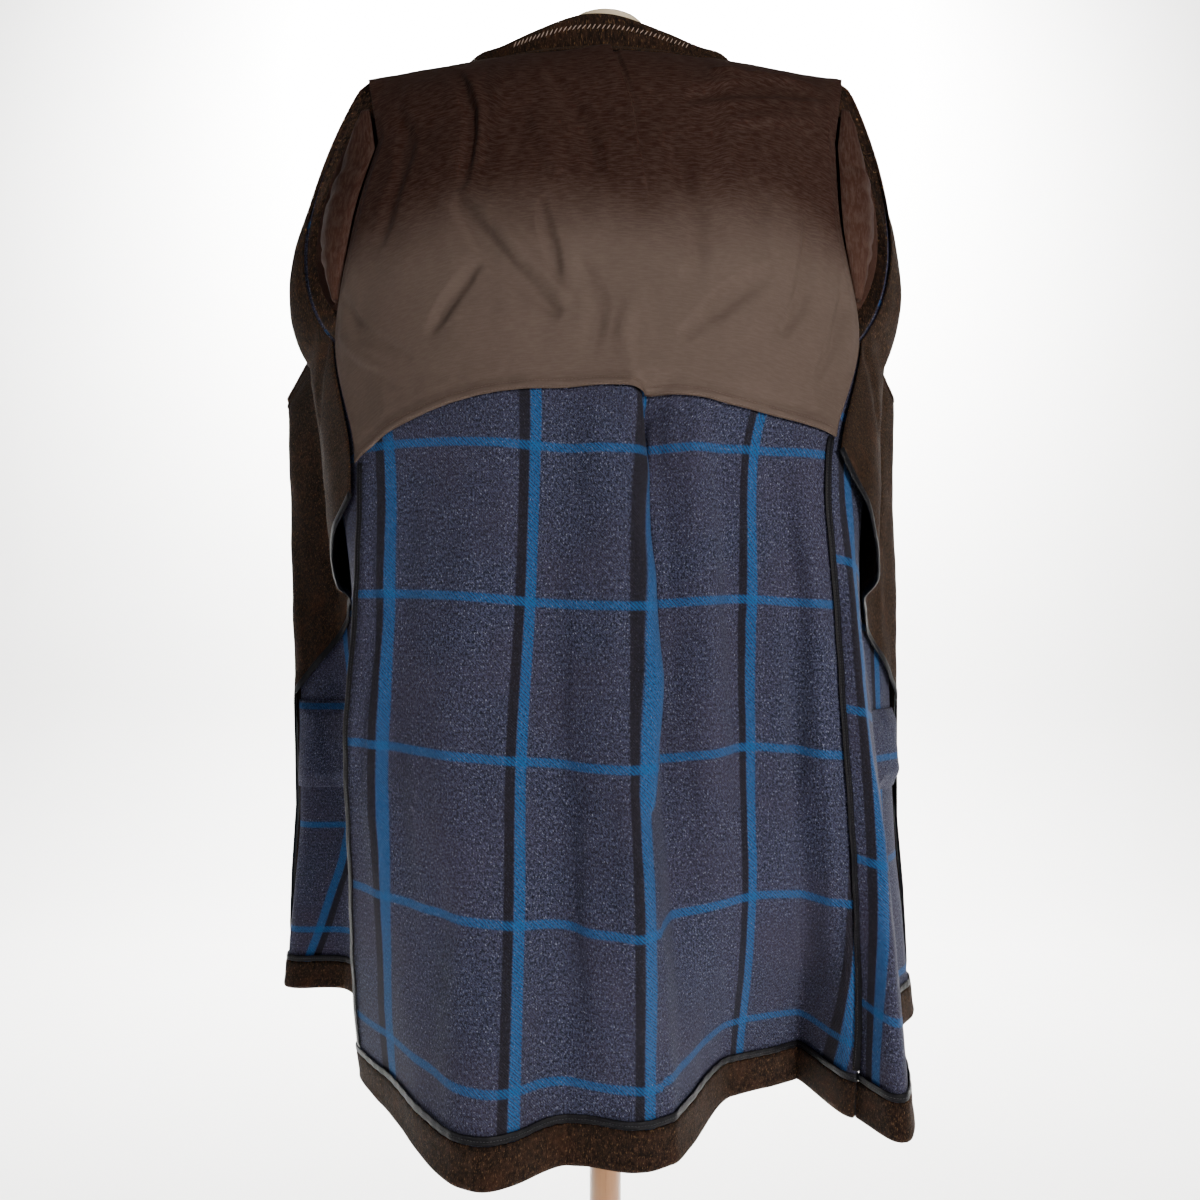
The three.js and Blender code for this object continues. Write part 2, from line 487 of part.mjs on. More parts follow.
// Collar: stand and fall along the neck seam and the top of each front edge
const COLLAR_PROFILE = [{ out: -2.4, up: -1 }, { out: -1.6, up: 18 }, { out: -1.6, up: 34 }, { out: -5, up: 40 },
  { out: -9, up: 36 }, { out: -10, up: 16 }];
const NECK_MIDDLE = new THREE.Vector3(-8, -30, 0);
const COLLAR_LIFT = { side: 7, front: 27 };
const lifted = (point, lift, height) => ({ foot: point.setZ(point.z + lift), height });
const collarSide = (u) => ease(clamp((Math.abs(u) - 0.06) / 0.4, 0, 1));
const collarPath = [
  ...[0.61, 0.57, 0.54].map((w) => lifted(frontTop(-1, w), COLLAR_LIFT.front, 0.4)),
  ...evenly(-ARMHOLE_SHARE, ARMHOLE_SHARE, 14).map((u) => {
    const nearSide = collarSide(u);
    return lifted(topLine(u), COLLAR_LIFT.side * nearSide, mix(1, 0.3, nearSide));
  }),
  ...[0.54, 0.57, 0.61].map((w) => lifted(frontTop(1, w), COLLAR_LIFT.front, 0.4)),
];
const collarGrid = COLLAR_PROFILE.map(({ out, up }) => collarPath.map(({ foot, height }) => {
  const away = foot.clone().sub(NECK_MIDDLE).setZ(0).normalize();
  return foot.clone().addScaledVector(away, out).add(new THREE.Vector3(0, 0, up * height));
}));
piece('collar', wall(withNormals(collarGrid, -1), -FOLDED / 2, FOLDED / 2), CLOTH.face);

// Dress form: torso with neck, cap, pole and base
const TORSO_ROWS = [
  { z: 790, wide: 70, deep: 50, y: -34 }, { z: 802, wide: 124, deep: 76, y: -34 },
  { z: 850, wide: 146, deep: 86, y: -34 }, { z: 930, wide: 148, deep: 88, y: -34 },
  { z: 1030, wide: 134, deep: 82, y: -36 }, { z: 1120, wide: 124, deep: 78, y: -38 },
  { z: 1220, wide: 134, deep: 84, y: -42 }, { z: 1320, wide: 146, deep: 88, y: -44 },
  { z: 1400, wide: 152, deep: 84, y: -46 }, { z: 1460, wide: 156, deep: 74, y: -48 },
  { z: 1512, wide: 158, deep: 56, y: -48 }, { z: 1545, wide: 158, deep: 34, y: -46 },
  { z: 1563, wide: 156, deep: 13, y: -44 }, { z: 1569, wide: 152, deep: 5, y: -43.6 },
];
const FORM_SIDES = 28;
const torsoRings = TORSO_ROWS.map(({ z, wide, deep, y }) => Array.from({ length: FORM_SIDES }, (_, k) => {
  const angle = (2 * Math.PI * k) / FORM_SIDES;
  const soften = (value) => Math.sign(value) * Math.abs(value) ** 0.86;
  return new THREE.Vector3(wide * soften(Math.cos(angle)), y + deep * soften(Math.sin(angle)), z);
}));
const NECK = { radius: 42, y: -42, foot: 1500, top: 1600 };
const wasm = await Module();
wasm.setup();
function solid(geometry) {
  const bare = geometry.clone();
  bare.deleteAttribute('normal');
  bare.deleteAttribute('uv');
  const merged = mergeVertices(bare, 1e-4);
  return new wasm.Manifold(new wasm.Mesh({
    numProp: 3, vertProperties: new Float32Array(merged.attributes.position.array), triVerts: new Uint32Array(merged.index.array),
  }));
}
const neckShape = new THREE.CylinderGeometry(NECK.radius, NECK.radius + 8, NECK.top - NECK.foot, FORM_SIDES);
neckShape.rotateX(Math.PI / 2).translate(0, NECK.y, (NECK.top + NECK.foot) / 2);
const joined = solid(lofted(torsoRings)).add(solid(neckShape)).getMesh();
const torso = new THREE.BufferGeometry();
torso.setAttribute('position', new THREE.BufferAttribute(joined.vertProperties, 3));
torso.setIndex(new THREE.BufferAttribute(joined.triVerts, 1));
piece('form_torso', torso, CLOTH.form);

function turned(name, profile, y, material) {
  const shape = new THREE.LatheGeometry(profile.map(([r, z]) => new THREE.Vector2(r, z)), 32);
  piece(name, shape.rotateX(Math.PI / 2).translate(0, y, 0), material);
}
turned('form_neck_cap', [[0, 1600.4], [43, 1600.4], [44, 1604], [42, 1611], [34, 1616], [18, 1619.4], [0, FORM_HEIGHT]],
  NECK.y, CLOTH.form);
turned('form_pole', [[0, 22.4], [15, 22.4], [15, 789.6], [0, 789.6]], FORM_Y, CLOTH.wood);
turned('form_base', [[0, 0], [186, 0], [190, 4], [188, 12], [150, 17], [60, 20], [30, 22], [0, 22]], FORM_Y, CLOTH.wood);

export default coat;
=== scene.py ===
"""Half-lined car coat, turned inside out and filled out on a dress form. Looks for the shared frame."""

import math

import bpy
import numpy as np
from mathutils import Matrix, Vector


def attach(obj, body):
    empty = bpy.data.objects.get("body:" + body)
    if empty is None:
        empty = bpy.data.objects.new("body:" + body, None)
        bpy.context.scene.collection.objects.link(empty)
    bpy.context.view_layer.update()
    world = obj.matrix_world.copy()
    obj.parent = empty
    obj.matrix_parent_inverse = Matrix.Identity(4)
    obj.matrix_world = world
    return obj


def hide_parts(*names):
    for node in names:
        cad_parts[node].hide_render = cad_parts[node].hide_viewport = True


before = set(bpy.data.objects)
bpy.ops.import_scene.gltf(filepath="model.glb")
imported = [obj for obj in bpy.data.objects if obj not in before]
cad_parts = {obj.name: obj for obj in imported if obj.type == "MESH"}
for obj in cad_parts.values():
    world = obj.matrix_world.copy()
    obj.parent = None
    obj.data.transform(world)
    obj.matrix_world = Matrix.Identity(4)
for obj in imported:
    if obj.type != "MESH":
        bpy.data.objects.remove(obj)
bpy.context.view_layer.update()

bl_info = {
    "name": "Car coat on a dress form",
    "version": (1, 0, 0),
    "blender": (4, 5, 0),
    "location": "3D View > Sidebar > Coat",
    "description": "Builds the cloth, sewing, form and stage of an inside-out car coat",
    "category": "Object",
}

MM = 0.001

# Sizes of the solids, in mm, the same as in the part's source
HEM_Z, UNDERARM_Z, SHOULDER_Z, TOP_Z = 549, 1294, 1480, 1572
WOOL, LINING, TRIM, SEAM_GAP, LAYER_GAP, FOLDED = 3.0, 1.5, 1.2, 0.4, 1.0, 2.4
HEM_TURN_UP, BINDING_WIDTH, ARMHOLE_SHARE, FORM_HEIGHT, FORM_Y = 35, 8, 0.52, 1620, -34
OVER_CLOTH = WOOL + LAYER_GAP
TURN_UP = HEM_Z + HEM_TURN_UP

BACK_ROWS = dict(
    z=(540, 625, 762, 899, 1036, 1173, 1294, 1400, 1480),
    leftX=(-247, -248, -243, -243, -234, -233, -262, -237, -216),
    leftY=(40, 0, -45, -72, -80, -78, -48, -78, -74),
    rightX=(240, 241, 231, 221, 212, 207, 246, 221, 219),
    rightY=(-42, -50, -80, -94, -99, -101, -50, -80, -74),
    backY=(-125, -128, -150, -152, -150, -148, -148, -150, -133),
)
# uYoke, uHem, left reach, right reach, flat share, depth at the top, middle and hem
BACK_FOLDS = {
    "left ridge": (-0.4, -0.45, 0.42, 0.34, 0.05, 4, 12, 55),
    "left hollow": (-0.12, -0.1, 0.16, 0.16, 0, -4, -8, 0),
    "centre lip": (0.1, 0.13, 0.2, 0.14, 0.1, 6, 26, 10),
    "deep crease": (0.19, 0.3, 0.06, 0.16, 0, -26, -26, -8),
    "right hollow": (0.6, 0.7, 0.46, 0.3, 0.4, -6, -42, -112),
    "right ridge": (0.42, 0.48, 0.1, 0.12, 0, 6, 9, 3),
}
FRONT_W = (0.1, 0.22, 0.42, 0.62, 0.85, 1)
FRONT_Z = (540, 800, 1060, 1294)
LEFT_X = ((-251, -256, -290, -335, -416, -385), (-250, -256, -282, -330, -397, -372),
          (-246, -262, -290, -332, -398, -368), (-283, -304, -318, -340, -402, -372))
LEFT_Y = ((75, 120, 215, 290, 300, 370), (-20, 50, 185, 268, 285, 350),
          (-45, 20, 145, 230, 262, 325), (-24, 10, 85, 165, 240, 300))
RIGHT_X = ((268, 292, 312, 338, 374, 362), (254, 267, 290, 322, 355, 345),
           (228, 244, 268, 308, 351, 335), (266, 288, 302, 318, 354, 330))
RIGHT_Y = ((-88, -26, 80, 155, 215, 288), (-92, -48, 70, 150, 212, 280),
           (-94, -52, 55, 135, 200, 265), (-24, 12, 78, 142, 195, 255))
CHEST_BULGE = dict(w=(0, 0.22, 0.42, 0.62, 0.85, 1), x=(62, 74, 45, 10, 0, 0), y=(57, 50, 45, 12, 0, 0))
CHEST_SHARE = {-1: 1.0, 1: 0.84}
LAPEL = {-1: ((-404, 236, 1316), (-372, 300, 1302)), 1: ((356, 190, 1304), (331, 255, 1300))}
FACING_W = (0, 0.1, 0.22, 0.42, 0.62, 0.85, 1)
FACING_EDGE = {-1: (1142, 1108, 1072, 1050, 1014, 936, 900), 1: (1182, 1128, 1068, 1040, 1000, 930, 900)}
FACING_STAND_OFF = (2.5, 15, 4)
YOKE_U = (-1, -0.8, -0.4, 0.1, 0.55, 0.85, 1)
YOKE_Z = (1166, 1190, 1213, 1219, 1207, 1194, 1186)


def mix(a, b, t):
    return a + (b - a) * t


def ease(t):
    t = np.clip(t, 0, 1)
    return t * t * (3 - 2 * t)


def bump(x, centre, half):
    """A soft ridge of height 1 at the centre that is gone at half to each side."""
    return 1 - ease(np.abs(x - centre) / half)


def along(keys, values, at):
    """Smooth curve through a table, for an array of places."""
    keys = np.asarray(keys, float)
    values = [np.asarray(v, float) for v in values]
    last = len(keys) - 1
    t = np.clip(np.asarray(at, float), keys[0], keys[last])
    k = np.clip(np.searchsorted(keys, t, side="left") - 1, 0, last - 1)
    lo, hi = np.maximum(k - 1, 0), np.minimum(k + 1, last)
    lo2, hi2 = np.maximum(k, 0), np.minimum(k + 2, last)

    def pick(i):
        out = np.zeros(np.broadcast(t, values[0]).shape)
        for n, v in enumerate(values):
            out = np.where(i == n, v, out)
        return out

    span = keys[k + 1] - keys[k]
    s = (t - keys[k]) / span
    m0 = (pick(hi) - pick(lo)) / (keys[hi] - keys[lo])
    m1 = (pick(hi2) - pick(lo2)) / (keys[hi2] - keys[lo2])
    return ((1 + 2 * s) * (1 - s) ** 2 * pick(k) + s * (1 - s) ** 2 * span * m0
            + s * s * (3 - 2 * s) * pick(k + 1) + s * s * (s - 1) * span * m1)


def back_column(name, z):
    return along(BACK_ROWS["z"], BACK_ROWS[name], z)


def top_line(u):
    far = np.abs(u)
    x = mix(-236, 236, (u + 1) / 2) - 9 * (1 - far)
    c = np.cos(math.pi / 2 * np.minimum(far / ARMHOLE_SHARE, 1))
    t = np.clip((far - ARMHOLE_SHARE) / (1 - ARMHOLE_SHARE), 0, 1)
    return np.stack([x, -42 - 58 * c - 8 * t, 1577 - 21 * c - 22 * t], -1)


def fold_depth(u, z):
    down = np.clip((1190 - z) / (1190 - HEM_Z), 0, 1)
    total = 0
    for at_yoke, at_hem, left, right, flat, top, middle, hem in BACK_FOLDS.values():
        centre = mix(at_yoke, at_hem, down)
        reach = np.where(u < centre, left, right)
        t = np.clip((np.abs(u - centre) / reach - flat) / (1 - flat), 0, 1)
        depth = np.where(down < 0.6, mix(top, middle, down / 0.6),
                         mix(middle, hem, ease((down - 0.6) / 0.4)))
        total = total + depth * (1 - ease((z - 1190) / 50)) * (1 - ease(t))
    return total


def back_point(u, z):
    u, z = np.broadcast_arrays(np.asarray(u, float), np.asarray(z, float))
    level = np.minimum(z, SHOULDER_Z)
    side_y = np.where(u < 0, back_column("leftY", level), back_column("rightY", level))
    x = mix(back_column("leftX", level), back_column("rightX", level), (u + 1) / 2)
    y = mix(back_column("backY", level), side_y, np.abs(u) ** 2.6) - fold_depth(u, level)
    top = top_line(u)
    t = (np.clip((z - SHOULDER_Z) / (TOP_Z - SHOULDER_Z), 0, 1))[..., None]
    start = np.stack([x, y, level], -1)
    bend = np.stack([mix(x, top[..., 0], 0.5), mix(y, top[..., 1], 0.18),
                     mix(SHOULDER_Z, top[..., 2], 0.68)], -1)
    return start * (1 - t) ** 2 + 2 * t * (1 - t) * bend + top * t * t


def front_level(side, w, z):
    w, z = np.broadcast_arrays(np.asarray(w, float), np.asarray(z, float))
    xs, ys = (LEFT_X, LEFT_Y) if side < 0 else (RIGHT_X, RIGHT_Y)
    seam = back_point(side, z)
    stations_x = [seam[..., 0]] + [along(FRONT_Z, [row[k] for row in xs], z) for k in range(6)]
    stations_y = [seam[..., 1]] + [along(FRONT_Z, [row[k] for row in ys], z) for k in range(6)]
    keys = (0,) + FRONT_W
    return np.stack([along(keys, stations_x, w), along(keys, stations_y, w), z], -1)


def front_top(side, w):
    w = np.asarray(w, float)
    gap = np.array([0, SEAM_GAP, 0])
    near = top_line(side * mix(1, ARMHOLE_SHARE, np.clip(w / 0.5, 0, 1))) + gap
    neck = top_line(np.full_like(w, side * ARMHOLE_SHARE)) + gap
    out, edge = (np.array(p, float) for p in LAPEL[side])
    t1 = np.clip((w - 0.5) / 0.35, 0, 1)[..., None]
    t2 = np.clip((w - 0.85) / 0.15, 0, 1)[..., None]
    far = mix(mix(neck, out, t1), edge, t2)
    return np.where((w <= 0.5)[..., None], near, far)


def front_point(side, w, z):
    w, z = np.broadcast_arrays(np.asarray(w, float), np.asarray(z, float))
    low = front_level(side, w, np.minimum(z, UNDERARM_Z))
    t = np.clip((z - UNDERARM_Z) / (TOP_Z - UNDERARM_Z), 0, 1)
    swell = CHEST_SHARE[side] * (4 * t * (1 - t)) ** 0.92
    point = mix(low, front_top(side, w), t[..., None])
    point[..., 0] += side * swell * along(CHEST_BULGE["w"], CHEST_BULGE["x"], w)
    point[..., 1] += swell * along(CHEST_BULGE["w"], CHEST_BULGE["y"], w)
    return point


# Creases worked into the cloth: a trough or ridge along a short line of places on the panel.
# Each has its line as (v, z) places, its half width in mm and its depth in mm, below zero a trough.
YOKE_CREASES = (
    (((-0.52, 1384), (-0.40, 1350), (-0.30, 1322), (-0.14, 1286)), 12, -8.0),
    (((-0.50, 1398), (-0.36, 1366), (-0.24, 1334), (-0.10, 1300)), 11, 5.0),
    (((-0.66, 1540), (-0.58, 1500), (-0.53, 1450), (-0.51, 1404)), 10, -5.0),
    (((-0.58, 1530), (-0.52, 1480), (-0.47, 1420)), 10, 3.0),
    (((-0.20, 1380), (-0.16, 1344), (-0.13, 1312)), 9, -5.0),
    (((-0.42, 1330), (-0.50, 1304), (-0.58, 1276)), 11, -5.0),
    (((0.90, 1518), (0.70, 1508), (0.50, 1496), (0.34, 1486)), 11, -6.0),
    (((0.88, 1532), (0.68, 1524), (0.44, 1518)), 9, 3.5),
    (((0.86, 1488), (0.66, 1476), (0.50, 1466)), 10, 2.4),
    (((0.84, 1396), (0.80, 1360), (0.74, 1322), (0.66, 1280)), 12, -5.5),
    (((0.60, 1330), (0.46, 1304), (0.32, 1268)), 14, -4.5),
    (((-0.88, 1500), (-0.80, 1440), (-0.82, 1370)), 14, -4.0),
    (((-0.96, 1330), (-0.86, 1290), (-0.68, 1258)), 10, -4.5),
    (((-0.97, 1300), (-0.86, 1262), (-0.72, 1236)), 9, 2.6),
    (((0.95, 1344), (0.88, 1300), (0.84, 1244)), 9, -4.0),
    (((0.28, 1440), (0.37, 1380), (0.35, 1320)), 16, -3.6),
    (((-0.22, 1508), (-0.08, 1456), (0.02, 1400)), 15, -3.6),
    (((-0.30, 1470), (-0.18, 1424), (-0.10, 1384)), 12, 2.2),
    (((0.55, 1440), (0.62, 1400), (0.60, 1350)), 14, -3.0),
    (((-0.05, 1330), (0.0, 1290), (-0.02, 1244)), 14, -3.2),
    (((0.12, 1300), (0.10, 1262), (0.14, 1234)), 12, 2.6),
)
BACK_CREASES = (
    (((0.200, 1214), (0.218, 1140), (0.228, 1040), (0.236, 930)), 8, -1.7),
    (((0.158, 1214), (0.178, 1120), (0.190, 1000), (0.194, 860)), 10, 13.0),
    (((0.250, 1190), (0.270, 1080), (0.279, 930)), 10, 8.0),
    (((-0.26, 1160), (-0.24, 960), (-0.20, 700), (-0.22, 580)), 26, -6.0),
    (((-0.08, 1120), (-0.05, 940), (-0.02, 760), (-0.04, 600)), 24, 6.0),
    (((-0.74, 1140), (-0.78, 940), (-0.70, 740)), 22, -4.0),
    (((-0.50, 1080), (-0.52, 900), (-0.48, 700)), 28, 4.5),
    (((0.42, 1170), (0.45, 1000), (0.46, 800)), 22, 5.0),
    (((0.54, 1170), (0.58, 1000), (0.62, 820)), 20, -5.0),
    (((0.80, 1150), (0.84, 1020), (0.80, 860)), 14, -4.5),
    (((0.72, 1100), (0.74, 960), (0.72, 800)), 14, 3.5),
    (((-0.93, 1130), (-0.90, 1000), (-0.93, 860)), 9, -2.6),
    (((0.06, 900), (0.05, 780), (0.09, 620)), 16, -4.5),
    (((-0.55, 780), (-0.62, 690), (-0.58, 600)), 24, -5.0),
    (((-0.84, 1000), (-0.86, 860), (-0.84, 720)), 14, 2.6),
    (((0.92, 960), (0.95, 820), (0.92, 640)), 9, -3.4),
    (((-0.30, 880), (-0.05, 868), (0.14, 872)), 18, -2.2),
    (((0.30, 1010), (0.50, 1020), (0.70, 1006)), 16, -2.0),
)
FRONT_CREASES = (
    (((1.02, 1300), (1.12, 1262), (1.20, 1200)), 10, -4.0),
    (((1.03, 1315), (1.16, 1300), (1.28, 1270)), 10, -3.6),
    (((1.30, 1240), (1.36, 1120), (1.34, 980)), 22, -4.0),
    (((1.62, 1260), (1.58, 1100), (1.63, 900), (1.60, 700)), 26, -4.5),
    (((1.14, 960), (1.18, 820), (1.15, 680)), 16, -3.6),
    (((1.50, 860), (1.47, 740), (1.50, 600)), 20, -3.4),
    (((1.80, 1200), (1.77, 1020), (1.80, 860)), 18, -2.8),
    (((1.36, 1460), (1.44, 1400), (1.52, 1330)), 16, -3.4),
)


def crease(v, z, line, half, depth):
    """Depth of one soft, uneven crease at places (v, z) of the sheet, where one step of v is about 240 mm."""
    wide = 240.0
    best = np.full(np.shape(v), 1e9)
    share = np.zeros(np.shape(v))
    lengths = [math.hypot((b[0] - a[0]) * wide, b[1] - a[1]) for a, b in zip(line, line[1:])]
    whole, done = sum(lengths), 0.0
    for (a, b), length in zip(zip(line, line[1:]), lengths):
        dx, dz = (b[0] - a[0]) * wide / length, (b[1] - a[1]) / length
        px, pz = (v - a[0]) * wide, z - a[1]
        t = np.clip(px * dx + pz * dz, 0, length)
        off = np.hypot(px - t * dx, pz - t * dz)
        nearer = off < best
        best = np.where(nearer, off, best)
        share = np.where(nearer, (done + t) / whole, share)
        done += length
    waver = 1 + 0.18 * np.sin(share * 9 + depth * 3) + 0.1 * np.sin(share * 23 + half)
    ends = np.sin(math.pi * np.clip(0.04 + 0.92 * share, 0, 1)) ** 0.55
    return depth * ends * waver * (1 - ease(best / (half * (0.7 + 0.5 * ends))))


def ripple(v, z, seed, size):
    """Small unevenness that cloth keeps from wear, in mm."""
    a = np.sin(v * 9.1 + z * 0.011 + seed) * np.sin(z * 0.021 - v * 4.3 + 2.1 * seed)
    b = np.sin(v * 23.7 - z * 0.017 + 1.7 * seed) * np.sin(z * 0.043 + v * 8.9 + seed)
    c = np.sin(v * 47.0 + z * 0.061 + 0.6 * seed) * np.sin(z * 0.083 - v * 17.0 + 1.2 * seed)
    return size * (0.55 * a + 0.3 * b + 0.15 * c)


def panel_lift(v, z):
    """How far the wool stands off its solid: creases and unevenness, kept small at the edges."""
    side = np.abs(v)
    lift = ripple(v, z, 1.3, 1.6)
    for line, half, depth in BACK_CREASES:
        lift = lift + np.where(side <= 1, crease(v, z, line, half, depth), 0)
    for line, half, depth in FRONT_CREASES:
        lift = lift + np.where(side >= 1, crease(side + 0.015 * np.sign(v), z, line, half, depth), 0)
    seam = ease((np.abs(side - 1)) / 0.05)
    top = ease((TOP_Z - z) / 40)
    return lift * (0.25 + 0.75 * seam) * top


def coat_point(v, z):
    v, z = np.broadcast_arrays(np.asarray(v, float), np.asarray(z, float))
    back = back_point(np.clip(v, -1, 1), z)
    left = front_point(-1, np.clip(-v - 1, 0, 1), z)
    right = front_point(1, np.clip(v - 1, 0, 1), z)
    return np.where((v < -1)[..., None], left, np.where((v > 1)[..., None], right, back))


def unit(a):
    return a / np.maximum(np.linalg.norm(a, axis=-1, keepdims=True), 1e-9)


def spot(v, z, low, high):
    """Points and outward normals of the bare sheet."""
    v, z = np.broadcast_arrays(np.asarray(v, float), np.asarray(z, float))
    lo = np.where(z <= UNDERARM_Z, -2, low)
    hi = np.where(z <= UNDERARM_Z, 2, high)
    across = coat_point(np.minimum(v + 0.02, hi), z) - coat_point(np.maximum(v - 0.02, lo), z)
    up = coat_point(v, np.minimum(z + 8, TOP_Z)) - coat_point(v, np.maximum(z - 8, HEM_Z))
    return coat_point(v, z), unit(np.cross(across, up))


def grid_normals(points):
    across = np.gradient(points, axis=1)
    up = np.gradient(points, axis=0)
    return unit(np.cross(across, up))


def new_object(name, vertices, faces, uvs=None, mats=(), face_mats=None, smooth=True):
    """A mesh object at the origin from points in mm in the table's frame, with a UV map for each grid."""
    name = name.replace(" ", "_")
    mesh = bpy.data.meshes.new(name)
    vertices = np.asarray(vertices, float) + np.array([0, -FORM_Y, 0])
    mesh.from_pydata([tuple(p) for p in vertices * MM], [], [tuple(f) for f in faces])
    for layer, values in (uvs or {}).items():
        uv = mesh.uv_layers.new(name=layer)
        loops = np.zeros(len(mesh.loops), int)
        mesh.loops.foreach_get("vertex_index", loops)
        uv.data.foreach_set("uv", np.asarray(values, float)[loops].ravel())
    for m in mats:
        mesh.materials.append(m)
    if face_mats is not None:
        mesh.polygons.foreach_set("material_index", np.asarray(face_mats, np.int32))
    mesh.polygons.foreach_set("use_smooth", [smooth] * len(mesh.polygons))
    mesh.update()
    old = bpy.data.objects.get(name)
    if old is not None:
        bpy.data.objects.remove(old)
    obj = bpy.data.objects.new(name, mesh)
    bpy.context.scene.collection.objects.link(obj)
    return obj


def grid_quads(rows, cols, flip=False, base=0, closed=False):
    i, j = np.meshgrid(np.arange(rows - 1), np.arange(cols if closed else cols - 1), indexing="ij")
    k = (j + 1) % cols
    corners = [i * cols + j, i * cols + k, (i + 1) * cols + k, (i + 1) * cols + j]
    quads = np.stack(corners, -1).reshape(-1, 4) + base
    return quads[:, ::-1] if flip else quads


def rim_quads(rows, cols, layer):
    """Faces that close the four edges between an outer grid and the inner grid after it."""
    top = [(rows - 1) * cols + j for j in range(cols)]
    ring = list(range(cols)) + [i * cols + cols - 1 for i in range(1, rows)]
    ring += top[-2::-1] + [i * cols for i in range(rows - 2, 0, -1)]
    return [(b, a, a + layer, b + layer) for a, b in zip(ring, ring[1:] + ring[:1])]


def cloth(name, inner, outer, uvs, mats, rounded=True):
    """A thin shell between two grids of points in mm. The outer grid faces along across x up."""
    rows, cols = inner.shape[:2]
    layer = rows * cols
    if rounded:
        inner, outer = inner.copy(), outer.copy()
        middle = (inner + outer) / 2
        for edge in ((0, slice(None)), (-1, slice(None)), (slice(None), 0), (slice(None), -1)):
            inner[edge] = mix(inner[edge], middle[edge], 0.45)
            outer[edge] = mix(outer[edge], middle[edge], 0.45)
    vertices = np.concatenate([outer.reshape(-1, 3), inner.reshape(-1, 3)])
    faces = np.concatenate([grid_quads(rows, cols), grid_quads(rows, cols, True, layer),
                            rim_quads(rows, cols, layer)])
    n = (rows - 1) * (cols - 1)
    which = np.zeros(len(faces), int)
    if len(mats) > 1:
        which[n:] = 1
    both = {k: np.concatenate([np.asarray(v).reshape(-1, 2)] * 2) for k, v in uvs.items()}
    return new_object(name, vertices, faces, both, mats, which)


def run(points):
    """Mean running length in metres along each axis of a grid of points in mm."""
    across = np.linalg.norm(np.diff(points, axis=1), axis=-1)
    up = np.linalg.norm(np.diff(points, axis=0), axis=-1)
    return across, up


def cloth_uv(points, start=(0.0, 0.0)):
    """Place on the cut cloth, in metres, so that weaves and repeats have their real size."""
    across, up = run(points)
    x = np.concatenate([np.zeros((points.shape[0], 1)), np.cumsum(across, axis=1)], 1) * MM
    x -= x[:, x.shape[1] // 2][:, None]
    y = np.concatenate([[0], np.cumsum(up.mean(axis=1))]) * MM
    return np.stack([x + start[0], np.broadcast_to(y[:, None], x.shape) + start[1]], -1)


def area_of(points):
    """Area in square metres of a grid of points in mm."""
    a = np.cross(points[1:, 1:] - points[:-1, :-1], points[1:, :-1] - points[:-1, 1:])
    return float(np.linalg.norm(a, axis=-1).sum() / 2) * MM * MM


def linear(colour):
    """An sRGB hex colour as linear RGBA."""
    c = np.array([int(colour[i:i + 2], 16) / 255 for i in (1, 3, 5)])
    c = np.where(c <= 0.04045, c / 12.92, ((c + 0.055) / 1.055) ** 2.4)
    return (float(c[0]), float(c[1]), float(c[2]), 1.0)


def add(tree, kind, inputs=None, **settings):
    """Adds a node with its settings, values and links, where a link is given as the socket it comes from."""
    made = tree.nodes.new(kind)
    for key, value in settings.items():
        setattr(made, key, value)
    for key, value in (inputs or {}).items():
        if isinstance(value, bpy.types.NodeSocket):
            tree.links.new(value, made.inputs[key])
        else:
            made.inputs[key].default_value = value
    return made


def maths(tree, operation, a, b=None, c=None, clamped=False):
    inputs = {k: v for k, v in enumerate((a, b, c)) if v is not None}
    return add(tree, "ShaderNodeMath", inputs, operation=operation, use_clamp=clamped).outputs[0]


def mixed(tree, factor, a, b):
    made = tree.nodes.new("ShaderNodeMix")
    made.data_type = "RGBA"
    for index, value in ((0, factor), (6, a), (7, b)):
        if isinstance(value, bpy.types.NodeSocket):
            tree.links.new(value, made.inputs[index])
        else:
            made.inputs[index].default_value = value
    return made.outputs[2]


def fresh(name):
    old = bpy.data.materials.get(name)
    if old is not None:
        return old, None, None
    mat = bpy.data.materials.new(name)
    mat.use_nodes = True
    tree = mat.node_tree
    return mat, tree, tree.nodes["Principled BSDF"]


def place(tree, layer):
    """The named UV map in metres, as a vector and as its two parts."""
    vector = add(tree, "ShaderNodeUVMap", uv_map=layer).outputs[0]
    parts = add(tree, "ShaderNodeSeparateXYZ", {0: vector})
    return vector, parts.outputs[0], parts.outputs[1]


def noise(tree, vector, scale, detail=2.0, roughness=0.5, stretch=None):
    if stretch is not None:
        vector = add(tree, "ShaderNodeMapping", {"Vector": vector, "Scale": stretch}).outputs[0]
    return add(tree, "ShaderNodeTexNoise", {"Vector": vector, "Scale": scale, "Detail": detail,
                                           "Roughness": roughness}).outputs["Fac"]


def steps(tree, value, low, high):
    """0 below low and 1 above high, soft between them."""
    return add(tree, "ShaderNodeMapRange", {"Value": value, "From Min": low, "From Max": high},
               interpolation_type="SMOOTHSTEP").outputs[0]


def wale(tree, x, y, pitch, slope=1.0):
    """Fine diagonal ribs of a twill, 0 to 1."""
    line = maths(tree, "ADD", maths(tree, "MULTIPLY", x, slope), y)
    wave = maths(tree, "SINE", maths(tree, "MULTIPLY", line, 2 * math.pi / pitch))
    return maths(tree, "MULTIPLY_ADD", wave, 0.5, 0.5)


def raised(tree, shader, height, strength, distance):
    bump_node = add(tree, "ShaderNodeBump", {"Height": height, "Strength": strength, "Distance": distance})
    tree.links.new(bump_node.outputs[0], shader.inputs["Normal"])


